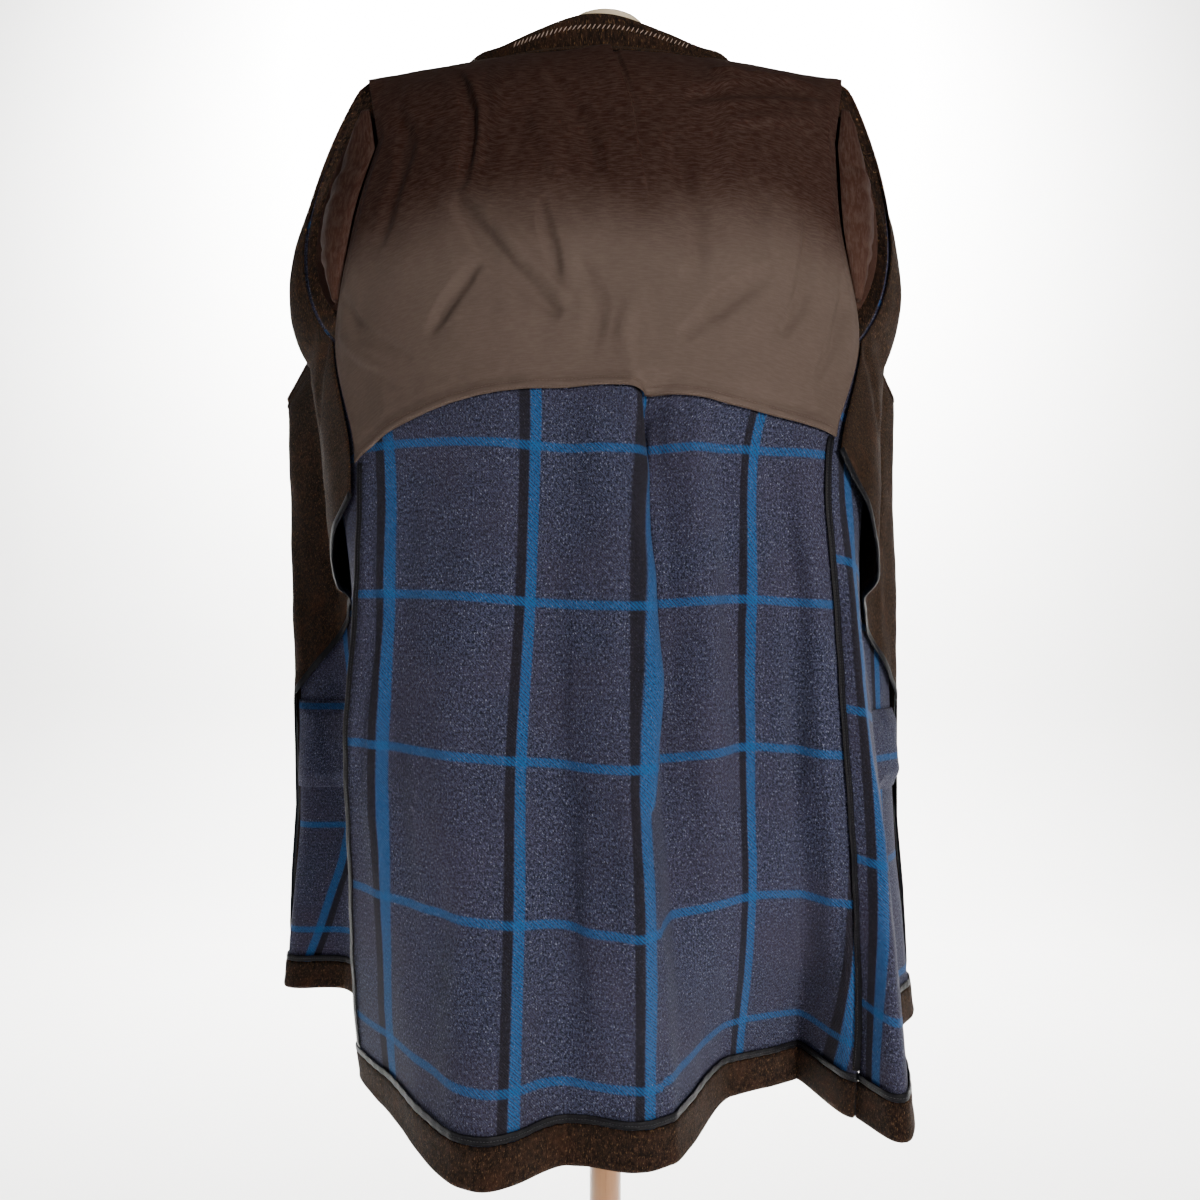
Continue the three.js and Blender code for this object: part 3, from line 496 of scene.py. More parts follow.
def stripe(tree, coordinate, centre, half, repeat):
    """1 on a line of the check, half wide to each side and soft at its edge. Coordinates count repeats."""
    moved = maths(tree, "ADD", coordinate, 0.5 - centre / repeat)
    off = maths(tree, "ABSOLUTE", maths(tree, "SUBTRACT", maths(tree, "FRACT", moved), 0.5))
    return maths(tree, "SUBTRACT", 1.0, steps(tree, off, (half - 0.0008) / repeat, (half + 0.0012) / repeat))


def check_wool():
    """Reverse of double-faced wool: a milled blue-grey twill with pale flecks, a blue windowpane with a
    brown line on its left, and a short, dull nap that pales at a grazing angle."""
    mat, tree, shader = fresh("Check wool")
    if tree is None:
        return mat
    vector, x, y = place(tree, "Cloth")
    _, across, up = place(tree, "Check")
    yarn = noise(tree, vector, 520.0, 5.0, 0.9, (1.0, 0.7, 1.0))
    ground = mixed(tree, steps(tree, yarn, 0.43, 0.60), linear("#080a15"), linear("#484b66"))
    pale = steps(tree, noise(tree, vector, 760.0, 2.0, 0.6, (1.0, 0.55, 1.0)), 0.60, 0.70)
    ground = mixed(tree, maths(tree, "MULTIPLY", pale, 0.8), ground, linear("#8f92a8"))
    warm = steps(tree, noise(tree, vector, 9.0, 3.0), 0.35, 0.7)
    ground = mixed(tree, maths(tree, "MULTIPLY", warm, 0.35), ground, linear("#3a3140"))
    hatch = wale(tree, x, y, 0.0036)
    loose = maths(tree, "MULTIPLY_ADD", steps(tree, yarn, 0.4, 0.6), 0.4, 0.06)
    fleck = maths(tree, "MULTIPLY_ADD", hatch, 0.6, loose)
    brown = stripe(tree, across, -0.0102, 0.0042, 0.135)
    ground = mixed(tree, maths(tree, "MULTIPLY", brown, 0.85), ground, linear("#120c10"))
    for coordinate, half, strength in ((across, 0.0052, 1.0), (up, 0.0036, 0.9)):
        line = stripe(tree, coordinate, 0.0, half, 0.135)
        amount = maths(tree, "MULTIPLY", maths(tree, "MULTIPLY", line, fleck), strength, clamped=True)
        ground = mixed(tree, amount, ground, linear("#0b5590"))
    rib = wale(tree, x, y, 0.0026)
    shade = maths(tree, "MULTIPLY", maths(tree, "SUBTRACT", 1.0, rib), 0.30)
    ground = mixed(tree, shade, ground, linear("#141722"))
    tree.links.new(ground, shader.inputs["Base Color"])
    shader.inputs["Roughness"].default_value = 0.94
    shader.inputs["Specular IOR Level"].default_value = 0.22
    shader.inputs["Sheen Weight"].default_value = 0.05
    shader.inputs["Sheen Roughness"].default_value = 0.55
    shader.inputs["Sheen Tint"].default_value = linear("#a9adc4")
    height = maths(tree, "ADD", maths(tree, "MULTIPLY", rib, 0.55), maths(tree, "MULTIPLY", yarn, 0.9))
    raised(tree, shader, height, 0.75, 0.0006)
    return mat


def face_wool():
    """Face of the same cloth: raised dark brown wool whose loose fibres are tan and rust at their tips."""
    mat, tree, shader = fresh("Face wool")
    if tree is None:
        return mat
    vector, _, _ = place(tree, "Cloth")
    tuft = noise(tree, vector, 270.0, 6.0, 0.85, (1.0, 0.6, 1.0))
    fibre = noise(tree, vector, 1100.0, 3.0, 0.7, (1.0, 0.25, 1.0))
    colour = mixed(tree, steps(tree, tuft, 0.42, 0.66), linear("#090403"), linear("#342218"))
    colour = mixed(tree, maths(tree, "MULTIPLY", steps(tree, fibre, 0.56, 0.72), 0.7), colour,
                   linear("#8a6744"))
    patch = steps(tree, noise(tree, vector, 24.0, 3.0), 0.5, 0.75)
    colour = mixed(tree, maths(tree, "MULTIPLY", patch, 0.25), colour, linear("#4a2c1c"))
    tree.links.new(colour, shader.inputs["Base Color"])
    shader.inputs["Roughness"].default_value = 0.97
    shader.inputs["Specular IOR Level"].default_value = 0.15
    shader.inputs["Sheen Weight"].default_value = 0.08
    shader.inputs["Sheen Roughness"].default_value = 0.6
    shader.inputs["Sheen Tint"].default_value = linear("#8f7357")
    raised(tree, shader, maths(tree, "ADD", tuft, maths(tree, "MULTIPLY", fibre, 0.5)), 0.9, 0.0016)
    return mat


def sateen(name, deep, lit_colour, low, high):
    """Cotton sateen lining: its floats give a soft band of light, and a painted shade by height darkens its
    top.
    """
    mat, tree, shader = fresh(name)
    if tree is None:
        return mat
    vector, x, y = place(tree, "Cloth")
    height = add(tree, "ShaderNodeSeparateXYZ",
                 {0: add(tree, "ShaderNodeTexCoord").outputs["Object"]}).outputs[2]
    # Painted shade by height: the lower colour stands for the lit part and deep for the upper part in shade;
    # noise wavers its edge.
    shade_edge_noise = maths(tree, "MULTIPLY_ADD", noise(tree, vector, 8.0, 3.0), 0.07, -0.035)
    # Share of painted shade: 0 low down, 1 at the top.
    kept = steps(tree, maths(tree, "ADD", height, shade_edge_noise), low, high)
    colour = mixed(tree, kept, linear(lit_colour), linear(deep))
    thread = noise(tree, vector, 380.0, 5.0, 0.75, (0.22, 1.8, 1.0))
    colour = mixed(tree, maths(tree, "MULTIPLY", steps(tree, thread, 0.42, 0.6), 0.16), colour,
                   linear("#6d6058"))
    rib = wale(tree, x, y, 0.0011, 0.6)
    colour = mixed(tree, maths(tree, "MULTIPLY", rib, 0.14), colour, linear("#1d100b"))
    tree.links.new(colour, shader.inputs["Base Color"])
    shader.inputs["Roughness"].default_value = 0.78
    shader.inputs["Specular IOR Level"].default_value = 0.14
    shader.inputs["Sheen Weight"].default_value = 0.03
    shader.inputs["Sheen Roughness"].default_value = 0.35
    shader.inputs["Sheen Tint"].default_value = linear("#9c8379")
    rumple = noise(tree, vector, 55.0, 4.0, 0.6)
    raised(tree, shader, maths(tree, "ADD", maths(tree, "MULTIPLY", rumple, 1.0),
                               maths(tree, "MULTIPLY", thread, 0.12)),
           0.5, 0.0011)
    return mat


def satin():
    """Black acetate satin cut on the bias: nearly black, a little brighter where it turns over the edge."""
    mat, tree, shader = fresh("Satin binding")
    if tree is None:
        return mat
    vector, x, y = place(tree, "Cloth")
    thread = noise(tree, vector, 500.0, 3.0, 0.6, (1.0, 0.3, 1.0))
    colour = mixed(tree, thread, linear("#050508"), linear("#141419"))
    tree.links.new(colour, shader.inputs["Base Color"])
    shader.inputs["Roughness"].default_value = 0.52
    shader.inputs["Specular IOR Level"].default_value = 0.14
    pucker = noise(tree, vector, 130.0, 2.0, 0.5, (0.4, 1.0, 1.0))
    raised(tree, shader, maths(tree, "ADD", pucker, maths(tree, "MULTIPLY", wale(tree, x, y, 0.0008), 0.1)),
           0.4, 0.0008)
    return mat


def linen():
    """Unbleached linen stretched over the form: plain weave with slubs and a dull surface."""
    mat, tree, shader = fresh("Linen cover")
    if tree is None:
        return mat
    vector = add(tree, "ShaderNodeTexCoord").outputs["Object"]
    parts = add(tree, "ShaderNodeSeparateXYZ", {0: vector})
    weft = maths(tree, "SINE", maths(tree, "MULTIPLY", parts.outputs[2], 2 * math.pi / 0.0012))
    slub = noise(tree, vector, 240.0, 3.0, 0.6, (0.2, 0.2, 1.0))
    colour = mixed(tree, slub, linear("#e3d4b8"), linear("#c3b08e"))
    tree.links.new(colour, shader.inputs["Base Color"])
    shader.inputs["Roughness"].default_value = 0.85
    shader.inputs["Sheen Weight"].default_value = 0.2
    raised(tree, shader, maths(tree, "MULTIPLY_ADD", weft, 0.3, slub), 0.35, 0.0005)
    return mat


def beech():
    """Turned and varnished beech: fine grain along the pole and a clear, slightly glossy coat."""
    mat, tree, shader = fresh("Varnished beech")
    if tree is None:
        return mat
    vector = add(tree, "ShaderNodeTexCoord").outputs["Object"]
    grain = noise(tree, vector, 90.0, 5.0, 0.65, (1.0, 1.0, 0.06))
    pore = noise(tree, vector, 700.0, 2.0, 0.5, (1.0, 1.0, 0.05))
    colour = mixed(tree, grain, linear("#8a5a33"), linear("#b98a5a"))
    colour = mixed(tree, maths(tree, "MULTIPLY", steps(tree, pore, 0.6, 0.75), 0.4), colour,
                   linear("#4d2f19"))
    tree.links.new(colour, shader.inputs["Base Color"])
    shader.inputs["Roughness"].default_value = 0.38
    shader.inputs["Coat Weight"].default_value = 0.5
    shader.inputs["Coat Roughness"].default_value = 0.2
    raised(tree, shader, pore, 0.2, 0.0003)
    return mat


def horn():
    """Dark horn-effect polyester: brown cloud in a nearly black ground under a polished skin."""
    mat, tree, shader = fresh("Horn button")
    if tree is None:
        return mat
    vector = add(tree, "ShaderNodeTexCoord").outputs["Object"]
    cloud = noise(tree, vector, 120.0, 4.0, 0.6, (1.0, 1.0, 0.4))
    tree.links.new(mixed(tree, cloud, linear("#140c08"), linear("#5a3b24")), shader.inputs["Base Color"])
    shader.inputs["Roughness"].default_value = 0.24
    raised(tree, shader, cloud, 0.1, 0.0003)
    return mat


def thread(name, colour):
    """Waxed cotton sewing thread: two plies that turn round each other, with a faint lustre."""
    mat, tree, shader = fresh(name)
    if tree is None:
        return mat
    vector = add(tree, "ShaderNodeTexCoord").outputs["Object"]
    ply = noise(tree, vector, 1500.0, 2.0, 0.5)
    tree.links.new(mixed(tree, maths(tree, "MULTIPLY", ply, 0.5), linear(colour), linear("#2a2018")),
                   shader.inputs["Base Color"])
    shader.inputs["Roughness"].default_value = 0.6
    return mat


def paper():
    """Seamless paper sweep under even light, nearly white, with the faint mottle of its pulp."""
    mat, tree, shader = fresh("Backdrop paper")
    if tree is None:
        return mat
    vector = add(tree, "ShaderNodeTexCoord").outputs["Object"]
    tree.links.new(mixed(tree, noise(tree, vector, 3.0, 4.0), linear("#f4f3f1"), linear("#efeeec")),
                   shader.inputs["Base Color"])
    shader.inputs["Roughness"].default_value = 0.9
    return mat


# Flat cut of each sheet as worn here: width, length and area in metres
def declare(points, rests_on=(), share=1.0):
    """Works out the cut of a grid of points as a sheet of cloth, from its longest row and column, and keeps
    nothing of it.
    """
    across, up = run(points)
    width = float(across.sum(axis=1).max()) * MM
    length = float(up.sum(axis=0).max()) * MM
    area = area_of(points) * share
    area = min(max(area, 0.301 * width * length), width * length)
    rests_on = tuple(name.replace(" ", "_") for name in rests_on)


def finish_piece(obj, slot, *nodes):
    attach(obj, "root")
    if nodes:
        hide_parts(*nodes)
    return obj


def lines(low, high, count, *kept):
    """Evenly spaced places from low to high, with the kept ones put in exactly."""
    values = np.linspace(low, high, count)
    return np.unique(np.round(np.concatenate([values, [k for k in kept if low <= k <= high]]), 6))


def grid(v_lines, z_lines):
    return np.meshgrid(np.asarray(v_lines, float), np.asarray(z_lines, float))


# Where the check's upright lines run on the back, at the yoke and at the hem
CHECK_AT_YOKE = (-0.84, -0.209, 0.19, 0.675)
CHECK_AT_HEM = (-0.794, -0.315, 0.165, 0.548)
CHECK_REPEAT = 137.0
CHECK_BASE = 625.0


def back_check(u, z):
    down = np.clip((1216 - z) / (1216 - HEM_Z), 0, 1)
    places = [mix(a, b, down) for a, b in zip(CHECK_AT_YOKE, CHECK_AT_HEM)]
    count = np.zeros(np.shape(u))
    first, last = places[1] - places[0], places[3] - places[2]
    count = np.where(u < places[0], 1 + (u - places[0]) / first, count)
    for k in range(3):
        inside = (u >= places[k]) & (u <= places[k + 1])
        count = np.where(inside, 1 + k + (u - places[k]) / (places[k + 1] - places[k]), count)
    count = np.where(u > places[3], 4 + (u - places[3]) / last, count)
    sag = np.where(u < 0.21, mix(6, -9, ease((u + 1) / 1.2)),
                   -5 + 9 * bump(u, 0.62, 0.4) * np.clip(down * 2, 0, 1))
    return np.stack([count, (z - CHECK_BASE - sag) / CHECK_REPEAT], -1)


def front_check(side, points, z):
    across, _ = run(points)
    ran = np.concatenate([np.zeros((points.shape[0], 1)), np.cumsum(across, axis=1)], 1)
    start = 25.0 if side > 0 else 68.0
    shift = mix(38.0, -20.0, np.clip(ran / 260.0, 0, 1)) if side > 0 else 0.0
    return np.stack([(ran - start) / 135.0, (z - CHECK_BASE - shift) / CHECK_REPEAT], -1)


def layer(v, z, low, high, inner, outer, extra=0.0):
    """Inner and outer points of a layer over the sheet, with further lift in mm along the same normals."""
    point, normal = spot(v, z, low, high)
    lift = panel_lift(v, z) + extra
    return point + normal * (inner + lift)[..., None], point + normal * (outer + lift)[..., None]


def side_range(side):
    return (-2, -1) if side < 0 else (1, 2)


def facing_foot(side, w):
    low = along(FACING_W, FACING_EDGE[side], np.minimum(w, 0.85))
    return mix(low, TURN_UP + BINDING_WIDTH + 2, ease((w - 0.85) / 0.055))


def stand_off(w):
    seam, flank, far = FACING_STAND_OFF
    return mix(seam, mix(flank, far, ease((w - 0.25) / 0.3)), ease(w / 0.2))


class CoatSizes(bpy.types.PropertyGroup):
    cloth: bpy.props.FloatProperty(name="Cloth thickness", description="Thickness of the double-faced wool",
                                   default=2.6 * MM, min=MM, max=4 * MM, subtype="DISTANCE", unit="LENGTH")
    lining: bpy.props.FloatProperty(name="Lining thickness", description="Thickness of the cotton lining",
                                    default=0.8 * MM, min=0.4 * MM, max=2 * MM, subtype="DISTANCE",
                                    unit="LENGTH")
    stitch: bpy.props.FloatProperty(name="Stitch pitch",
                                    description="Length of one machine stitch and its gap",
                                    default=3.2 * MM, min=MM, max=8 * MM, subtype="DISTANCE", unit="LENGTH")
    whip: bpy.props.FloatProperty(name="Whip stitch pitch", description="Distance between hand stitches",
                                  default=4.6 * MM, min=2 * MM, max=12 * MM, subtype="DISTANCE",
                                  unit="LENGTH")


class StageSizes(bpy.types.PropertyGroup):
    lens: bpy.props.FloatProperty(name="Lens", description="Focal length on a 36 mm sensor", default=27.81,
                                  min=10, max=200)
    light: bpy.props.FloatProperty(name="Key light", description="Power of the key light", default=64.0,
                                   min=0, max=500, unit="POWER")


class COAT_OT_body(bpy.types.Operator):
    """Back panel and both fronts: double-faced wool, check outwards and brushed face inwards"""
    bl_idname = "coat.body"
    bl_label = "Build back and fronts"

    def execute(self, context):
        thick = context.scene.coat_sizes.cloth / MM
        mats = (check_wool(), face_wool())
        u, z = grid(lines(-1, 1, 210), lines(HEM_Z, TOP_Z, 196, UNDERARM_Z, SHOULDER_Z))
        inner, outer = layer(u, z, -1, 1, WOOL - thick, WOOL)
        uvs = {"Cloth": cloth_uv(outer), "Check": back_check(u, z)}
        back = cloth("Back panel", inner, outer, uvs, mats)
        finish_piece(back, "check_wool", "back_panel")
        declare(outer, ("Form torso",))
        for side, name in ((-1, "left"), (1, "right")):
            w, z = grid(lines(0.003, 1, 118), lines(HEM_Z, TOP_Z, 164, UNDERARM_Z, SHOULDER_Z))
            low, high = side_range(side)
            v = side * (1 + (w if side > 0 else w[:, ::-1]))
            inner, outer = layer(v, z, low, high, WOOL - thick, WOOL)
            points = outer if side > 0 else outer[:, ::-1]
            check = front_check(side, points, z)
            uvs = {"Cloth": cloth_uv(outer), "Check": check if side > 0 else check[:, ::-1]}
            front = cloth(f"Front {name}", inner, outer, uvs, mats)
            finish_piece(front, "check_wool", f"front_{name}")
            declare(outer, ("Back panel",))
        return {"FINISHED"}


def pleat_line(z):
    """Where the lining's centre pleat folds over, as a share of the back's half width."""
    return 0.045 + 0.155 * ease((1556 - z) / 200)


def yoke_extra(u, z):
    """Creases, the centre pleat and the turned hem of the half lining, in mm."""
    lift = ripple(u, z, 4.2, 1.1) + ripple(u * 2.1, z * 1.6, 7.7, 0.5)
    for line, half, depth in YOKE_CREASES:
        lift = lift + crease(u, z, line, half * 0.85, depth * 1.15)
    from_fold = (u - pleat_line(z)) * 236
    held = ease((z - 1352) / 130)
    rise = np.where(from_fold <= 0, 5.2 * ease((from_fold + 46) / 46), 5.2 * (1 - ease(from_fold / 2.4)))
    gape = -2.4 * bump(from_fold, 4.5, 4.5) * ease((z - 1470) / 60)
    lift = lift + held * rise + gape
    foot = along(YOKE_U, YOKE_Z, u)
    above = z - foot
    lift = lift + 1.5 * (1 - ease(above / 26)) + 0.9 * bump(above, 3.8, 4.2) - 0.7 * bump(above, 8.6, 1.6)
    lift = lift - 1.1 * bump(above, 14, 8)
    seam = ease((1 - np.abs(u)) / 0.05)
    return np.maximum(lift + 3.0 * ease((z - 1235) / 60) * ease((1548 - z) / 60) * seam,
                      -1.1) * (0.3 + 0.7 * seam)


class COAT_OT_yoke(bpy.types.Operator):
    """Half lining of the back, with its centre pleat, creases and double-stitched hem, and the neck facing"""
    bl_idname = "coat.yoke"
    bl_label = "Build half lining"

    def execute(self, context):
        thick = context.scene.coat_sizes.lining / MM
        u_lines = np.unique(np.concatenate([lines(-1, 1, 230), lines(0.03, 0.23, 56)]))
        share = np.concatenate([np.linspace(0, 0.07, 14), np.linspace(0.075, 1, 126)])
        foot = along(YOKE_U, YOKE_Z, u_lines)
        top = mix(1571, 1554, 1 - ease((np.abs(u_lines) - 0.4) / (ARMHOLE_SHARE - 0.4)))
        z = foot[None, :] + (top - foot)[None, :] * share[:, None]
        u = np.broadcast_to(u_lines[None, :], z.shape)
        extra = yoke_extra(u, z)
        inner, outer = layer(u, z, -1, 1, 5.2, 5.2 + thick, extra)
        # The half lining is painted darker above about 1.33 to 1.42 m: painted shade on its upper part.
        yoke = cloth("Half lining", inner, outer, {"Cloth": cloth_uv(outer)},
                     (sateen("Lining sateen", "#240d05", "#51443d", 1.325, 1.415),))
        finish_piece(yoke, "lining", "back_lining_yoke")
        declare(outer, ("Back panel",))
        u, z = grid(lines(-0.4, 0.4, 90), lines(1557, TOP_Z, 10))
        inner, outer = layer(u, z, -1, 1, OVER_CLOTH, OVER_CLOTH + 2)
        facing = cloth("Back neck facing", inner, outer, {"Cloth": cloth_uv(outer)}, (face_wool(),))
        finish_piece(facing, "face_wool", "back_neck_facing")
        declare(outer, ("Back panel",))
        return {"FINISHED"}


class COAT_OT_facings(bpy.types.Operator):
    """Front facings in face cloth, standing off the fronts where they hang free, each with its bound edge"""
    bl_idname = "coat.facings"
    bl_label = "Build facings"

    def execute(self, context):
        for side, name in ((-1, "left"), (1, "right")):
            low, high = side_range(side)
            w_lines = lines(0.012, 1, 104, 0.85, 0.9)
            if side < 0:
                w_lines = w_lines[::-1]
            foot = facing_foot(side, w_lines)
            below = foot[None, :] + (UNDERARM_Z - foot)[None, :] * np.linspace(0, 1, 62)[:-1, None]
            above = np.broadcast_to(lines(UNDERARM_Z, TOP_Z - 1, 52, SHOULDER_Z)[:, None],
                                    (len(lines(UNDERARM_Z, TOP_Z - 1, 52, SHOULDER_Z)), len(w_lines)))
            z = np.concatenate([below, above])
            w = np.broadcast_to(w_lines[None, :], z.shape)
            w = w - 0.008 * (1 - ease(w / 0.04)) * (z > UNDERARM_Z)
            v = side * (1 + w)
            free = 1 - ease((z - foot[None, :]) / (UNDERARM_Z - foot)[None, :])
            sway = 2.2 * ripple(w * 1.3, z, 3.1 + side, 1.0) * ease(w / 0.1) * ease((0.98 - w) / 0.1)
            extra = stand_off(w) * free * 0.94 + sway * (0.35 + 0.65 * free)
            inner, outer = layer(v, z, low, high, OVER_CLOTH + 1.2, OVER_CLOTH + 3.4, extra)
            facing = cloth(f"Facing {name}", inner, outer, {"Cloth": cloth_uv(outer)}, (face_wool(),))
            finish_piece(facing, "face_wool", f"facing_{name}")
            declare(outer, (f"Front {name}",))
            edge = w_lines[(w_lines <= 0.985)]
            foot = facing_foot(side, edge)
            ring = binding_ring(4.2, 1.5)
            point, normal = spot(side * (1 + edge), foot, low, high)
            lift = panel_lift(side * (1 + edge), foot)
            sway = 2.2 * ripple(edge * 1.3, foot, 3.1 + side,
                                1.0) * ease(edge / 0.1) * ease((0.98 - edge) / 0.1)
            path = point + normal * (OVER_CLOTH + 2.3 + lift + stand_off(edge) * 0.94 + sway)[:, None]
            binding = tube(f"Facing binding {name}", path, normal, ring, satin())
            finish_piece(binding, "satin_binding", f"facing_binding_{name}")
        return {"FINISHED"}


def binding_ring(wide, thick, count=14):
    """Section of a folded binding: flat, with round edges and a small dip at its stitching."""
    a = np.linspace(0, 2 * math.pi, count, endpoint=False)
    return np.stack([wide * np.sign(np.cos(a)) * np.abs(np.cos(a)) ** 0.6,
                     thick * np.sign(np.sin(a)) * np.abs(np.sin(a)) ** 0.8], -1)


def tube(name, path, normal, ring, mat):
    """A closed solid swept along a path. The ring's first axis lies in the cloth, its second across it."""
    tangent = unit(np.gradient(path, axis=0))
    normal = unit(normal - (normal * tangent).sum(-1, keepdims=True) * tangent)
    flat = np.cross(tangent, normal)
    rings = path[:, None, :] + flat[:, None, :] * ring[None, :, :1] + normal[:, None, :] * ring[None, :, 1:]
    rows, cols = rings.shape[:2]
    vertices = np.concatenate([rings.reshape(-1, 3), rings[0].mean(0)[None], rings[-1].mean(0)[None]])
    faces = [tuple(q) for q in grid_quads(rows, cols, closed=True)]
    a, b = rows * cols, rows * cols + 1
    for j in range(cols):
        k = (j + 1) % cols
        faces.append((a, k, j))
        faces.append((b, (rows - 1) * cols + j, (rows - 1) * cols + k))
    ran = np.concatenate([[0], np.cumsum(np.linalg.norm(np.diff(path, axis=0), axis=-1))]) * MM
    round_uv = np.cumsum(np.r_[0, np.linalg.norm(np.diff(ring, axis=0), axis=-1)]) * MM
    uv = np.stack(np.meshgrid(round_uv, ran), -1).reshape(-1, 2)
    uv = np.concatenate([uv, [[0, ran[0]], [0, ran[-1]]]])
    obj = new_object(name, vertices, faces, {"Cloth": uv}, (mat,))
    face_out(obj)
    return obj


def face_out(obj):
    """Turns a closed mesh so that its faces point outwards."""
    mesh = obj.data
    mesh.calc_loop_triangles()
    co = np.empty(len(mesh.vertices) * 3)
    mesh.vertices.foreach_get("co", co)
    co = co.reshape(-1, 3)
    tri = np.empty(len(mesh.loop_triangles) * 3, int)
    mesh.loop_triangles.foreach_get("vertices", tri)
    a, b, c = (co[tri.reshape(-1, 3)[:, k]] for k in range(3))
    if (a * np.cross(b, c)).sum() < 0:
        mesh.flip_normals()


class COAT_OT_edges(bpy.types.Operator):
    """Turned-up hem with its bound edge, side seam bindings, pocket bags and welts"""
    bl_idname = "coat.edges"
    bl_label = "Build hem, bindings and pockets"

    def execute(self, context):
        z_hem = lines(HEM_Z, TURN_UP - SEAM_GAP, 12)
        z_trim = TURN_UP + BINDING_WIDTH / 2
        for low_v, high_v, name, count in ((-1, 1, "back", 230), (-2, -1, "left", 110),
                                           (1, 2, "right", 110)):
            gap = 0.003 if abs(low_v + high_v) > 1 else 0
            v_lines = lines(low_v + (gap if low_v >= 1 else 0), high_v - (gap if high_v <= -1 else 0), count)
            v, z = grid(v_lines, z_hem)
            pucker = 0.35 * np.sin(v * 160) * (z - HEM_Z) / HEM_TURN_UP + 0.8 * bump(z, HEM_Z + 4, 8)
            inner, outer = layer(v, z, low_v, high_v, OVER_CLOTH, OVER_CLOTH + FOLDED, pucker)
            hem = cloth(f"Hem facing {name}", inner, outer, {"Cloth": cloth_uv(outer)}, (face_wool(),))
            finish_piece(hem, "face_wool", f"hem_facing_{name}")
            declare(outer, ("Back panel" if name == "back" else f"Front {name}",))
            point, normal = spot(v_lines, np.full_like(v_lines, z_trim), low_v, high_v)
            lift = panel_lift(v_lines, np.full_like(v_lines, z_trim)) + 0.3 * np.sin(v_lines * 160)
            path = point + normal * (OVER_CLOTH + 1.1 + lift)[:, None]
            trim = tube(f"Hem binding {name}", path, normal, binding_ring(BINDING_WIDTH / 2 - 0.2, 0.8),
                        satin())
            finish_piece(trim, "satin_binding", f"hem_binding_{name}")
        for side, name in ((-1, "left"), (1, "right")):
            z = lines(TURN_UP + BINDING_WIDTH + 3, float(YOKE_Z[0] if side < 0 else YOKE_Z[-1]) - 1, 130)
            v = np.full_like(z, side * (1 - 0.018) + 0.0015 * np.sin(z / 31))
            point, normal = spot(v, z, -1, 1)
            path = point + normal * (OVER_CLOTH + 1.0 + panel_lift(v, z) + 0.3 * np.sin(z / 9))[:, None]
            seam = tube(f"Seam binding {name}", path, normal, binding_ring(3.7, 0.9), satin())
            finish_piece(seam, "satin_binding", f"seam_binding_{name}")
            self.pocket(side, name)
        return {"FINISHED"}

    def pocket(self, side, name):
        low, high = side_range(side)
        w_lines = lines(0.56, 0.85, 34)
        z_lines = lines(812, 926, 36) if side < 0 else lines(826, 920, 32)
        v, z = grid(side * (1 + (w_lines if side > 0 else w_lines[::-1])), z_lines)
        w = np.abs(v) - 1
        inside = np.minimum(np.minimum((w - 0.56) / 0.08, (0.85 - w) / 0.08),
                            np.minimum((z - z_lines[0]) / 22, (z_lines[-1] - z) / 22))
        swell = 7.5 * ease(inside) + 1.2 * ripple(w * 6, z * 3, 2.0, 1.0) * ease(inside)
        inner, outer = layer(v, z, low, high, WOOL + 0.7, WOOL + 3.0, swell)
        flat = cloth_uv(outer)
        check = np.stack([(w - 0.6) * 0.9 + 0.3, (z - 918) / 135 + (0 if side < 0 else 0.4)], -1)
        bag = cloth(f"Pocket bag {name}", inner, outer, {"Cloth": flat, "Check": check},
                    (check_wool(), face_wool()))
        finish_piece(bag, "check_wool", f"pocket_bag_{name}")
        declare(outer, (f"Front {name}",))
        slant = lines(0.56, 0.78, 30)
        v, rise = grid(side * (1 + (slant if side > 0 else slant[::-1])), lines(0, 25, 9))
        z = 900 + rise + 200 * (np.abs(v) - 1.6)
        inner, outer = layer(v, z, low, high, -3.2, -0.9)
        welt = cloth(f"Pocket welt {name}", inner, outer, {"Cloth": cloth_uv(outer)}, (face_wool(),))
        finish_piece(welt, "face_wool", f"pocket_welt_{name}")
        declare(inner, (f"Front {name}",))


SLEEVE_ROWS = dict(tilt=(25, 60, 90, 90, 90, 90), across=(82, 46, 33, 29, 27, 26),
                   deep=(34, 48, 58, 58, 54, 52),
                   x=(206, 194, 198, 192, 190, 188), y=(-28, -22, -16, -14, -12, -10),
                   z=(1394, 1324, 1240, 1100, 1000, 926))
ARMHOLE_TOP, ARMHOLE_FOOT = 1564, 1302
SLEEVE_HEAD = dict(inset=4.2, into=11, lining_inset=20, lining_into=16)
LINING_INSET = (10, 10, 7, 7, 7, 2.8)
CREST = ((0.03, 5), (0.34, 15), (0.62, 6), (0.46, -10))


def sleeve_ring(side, row, a, inset):
    tilt = math.radians(SLEEVE_ROWS["tilt"][row])
    across = (SLEEVE_ROWS["across"][row] - inset) * np.cos(2 * math.pi * a)
    deep = (SLEEVE_ROWS["deep"][row] - inset) * np.sin(2 * math.pi * a)
    x, y, z = (SLEEVE_ROWS[k][row] for k in "xyz")
    return np.stack([side * (x - across * math.sin(tilt)), y - deep, z + across * math.cos(tilt)], -1)


def armhole_pair(side, t):
    z = mix(ARMHOLE_TOP, ARMHOLE_FOOT, t)
    return back_point(np.full_like(t, float(side)), z), front_point(side, np.zeros_like(t), z)


def loop_share(a):
    return np.where(a <= 0.5, a / 0.5, (1 - a) / 0.5)


def end_inset(point, t, inset):
    point = point.copy()
    point[..., 2] -= inset * np.sign(0.5 - t) * (1 - 2 * t) ** 2
    return point


def sleeve_mouth(side, a, inset, into):
    t = loop_share(a)
    back, front = armhole_pair(side, np.clip(t, 0.06, 0.95))
    middle = (back + front) / 2
    point = np.where((a <= 0.5)[:, None], back, front)
    point = point + unit(middle - point) * inset
    point[:, 0] -= side * into
    return end_inset(point, t, inset)


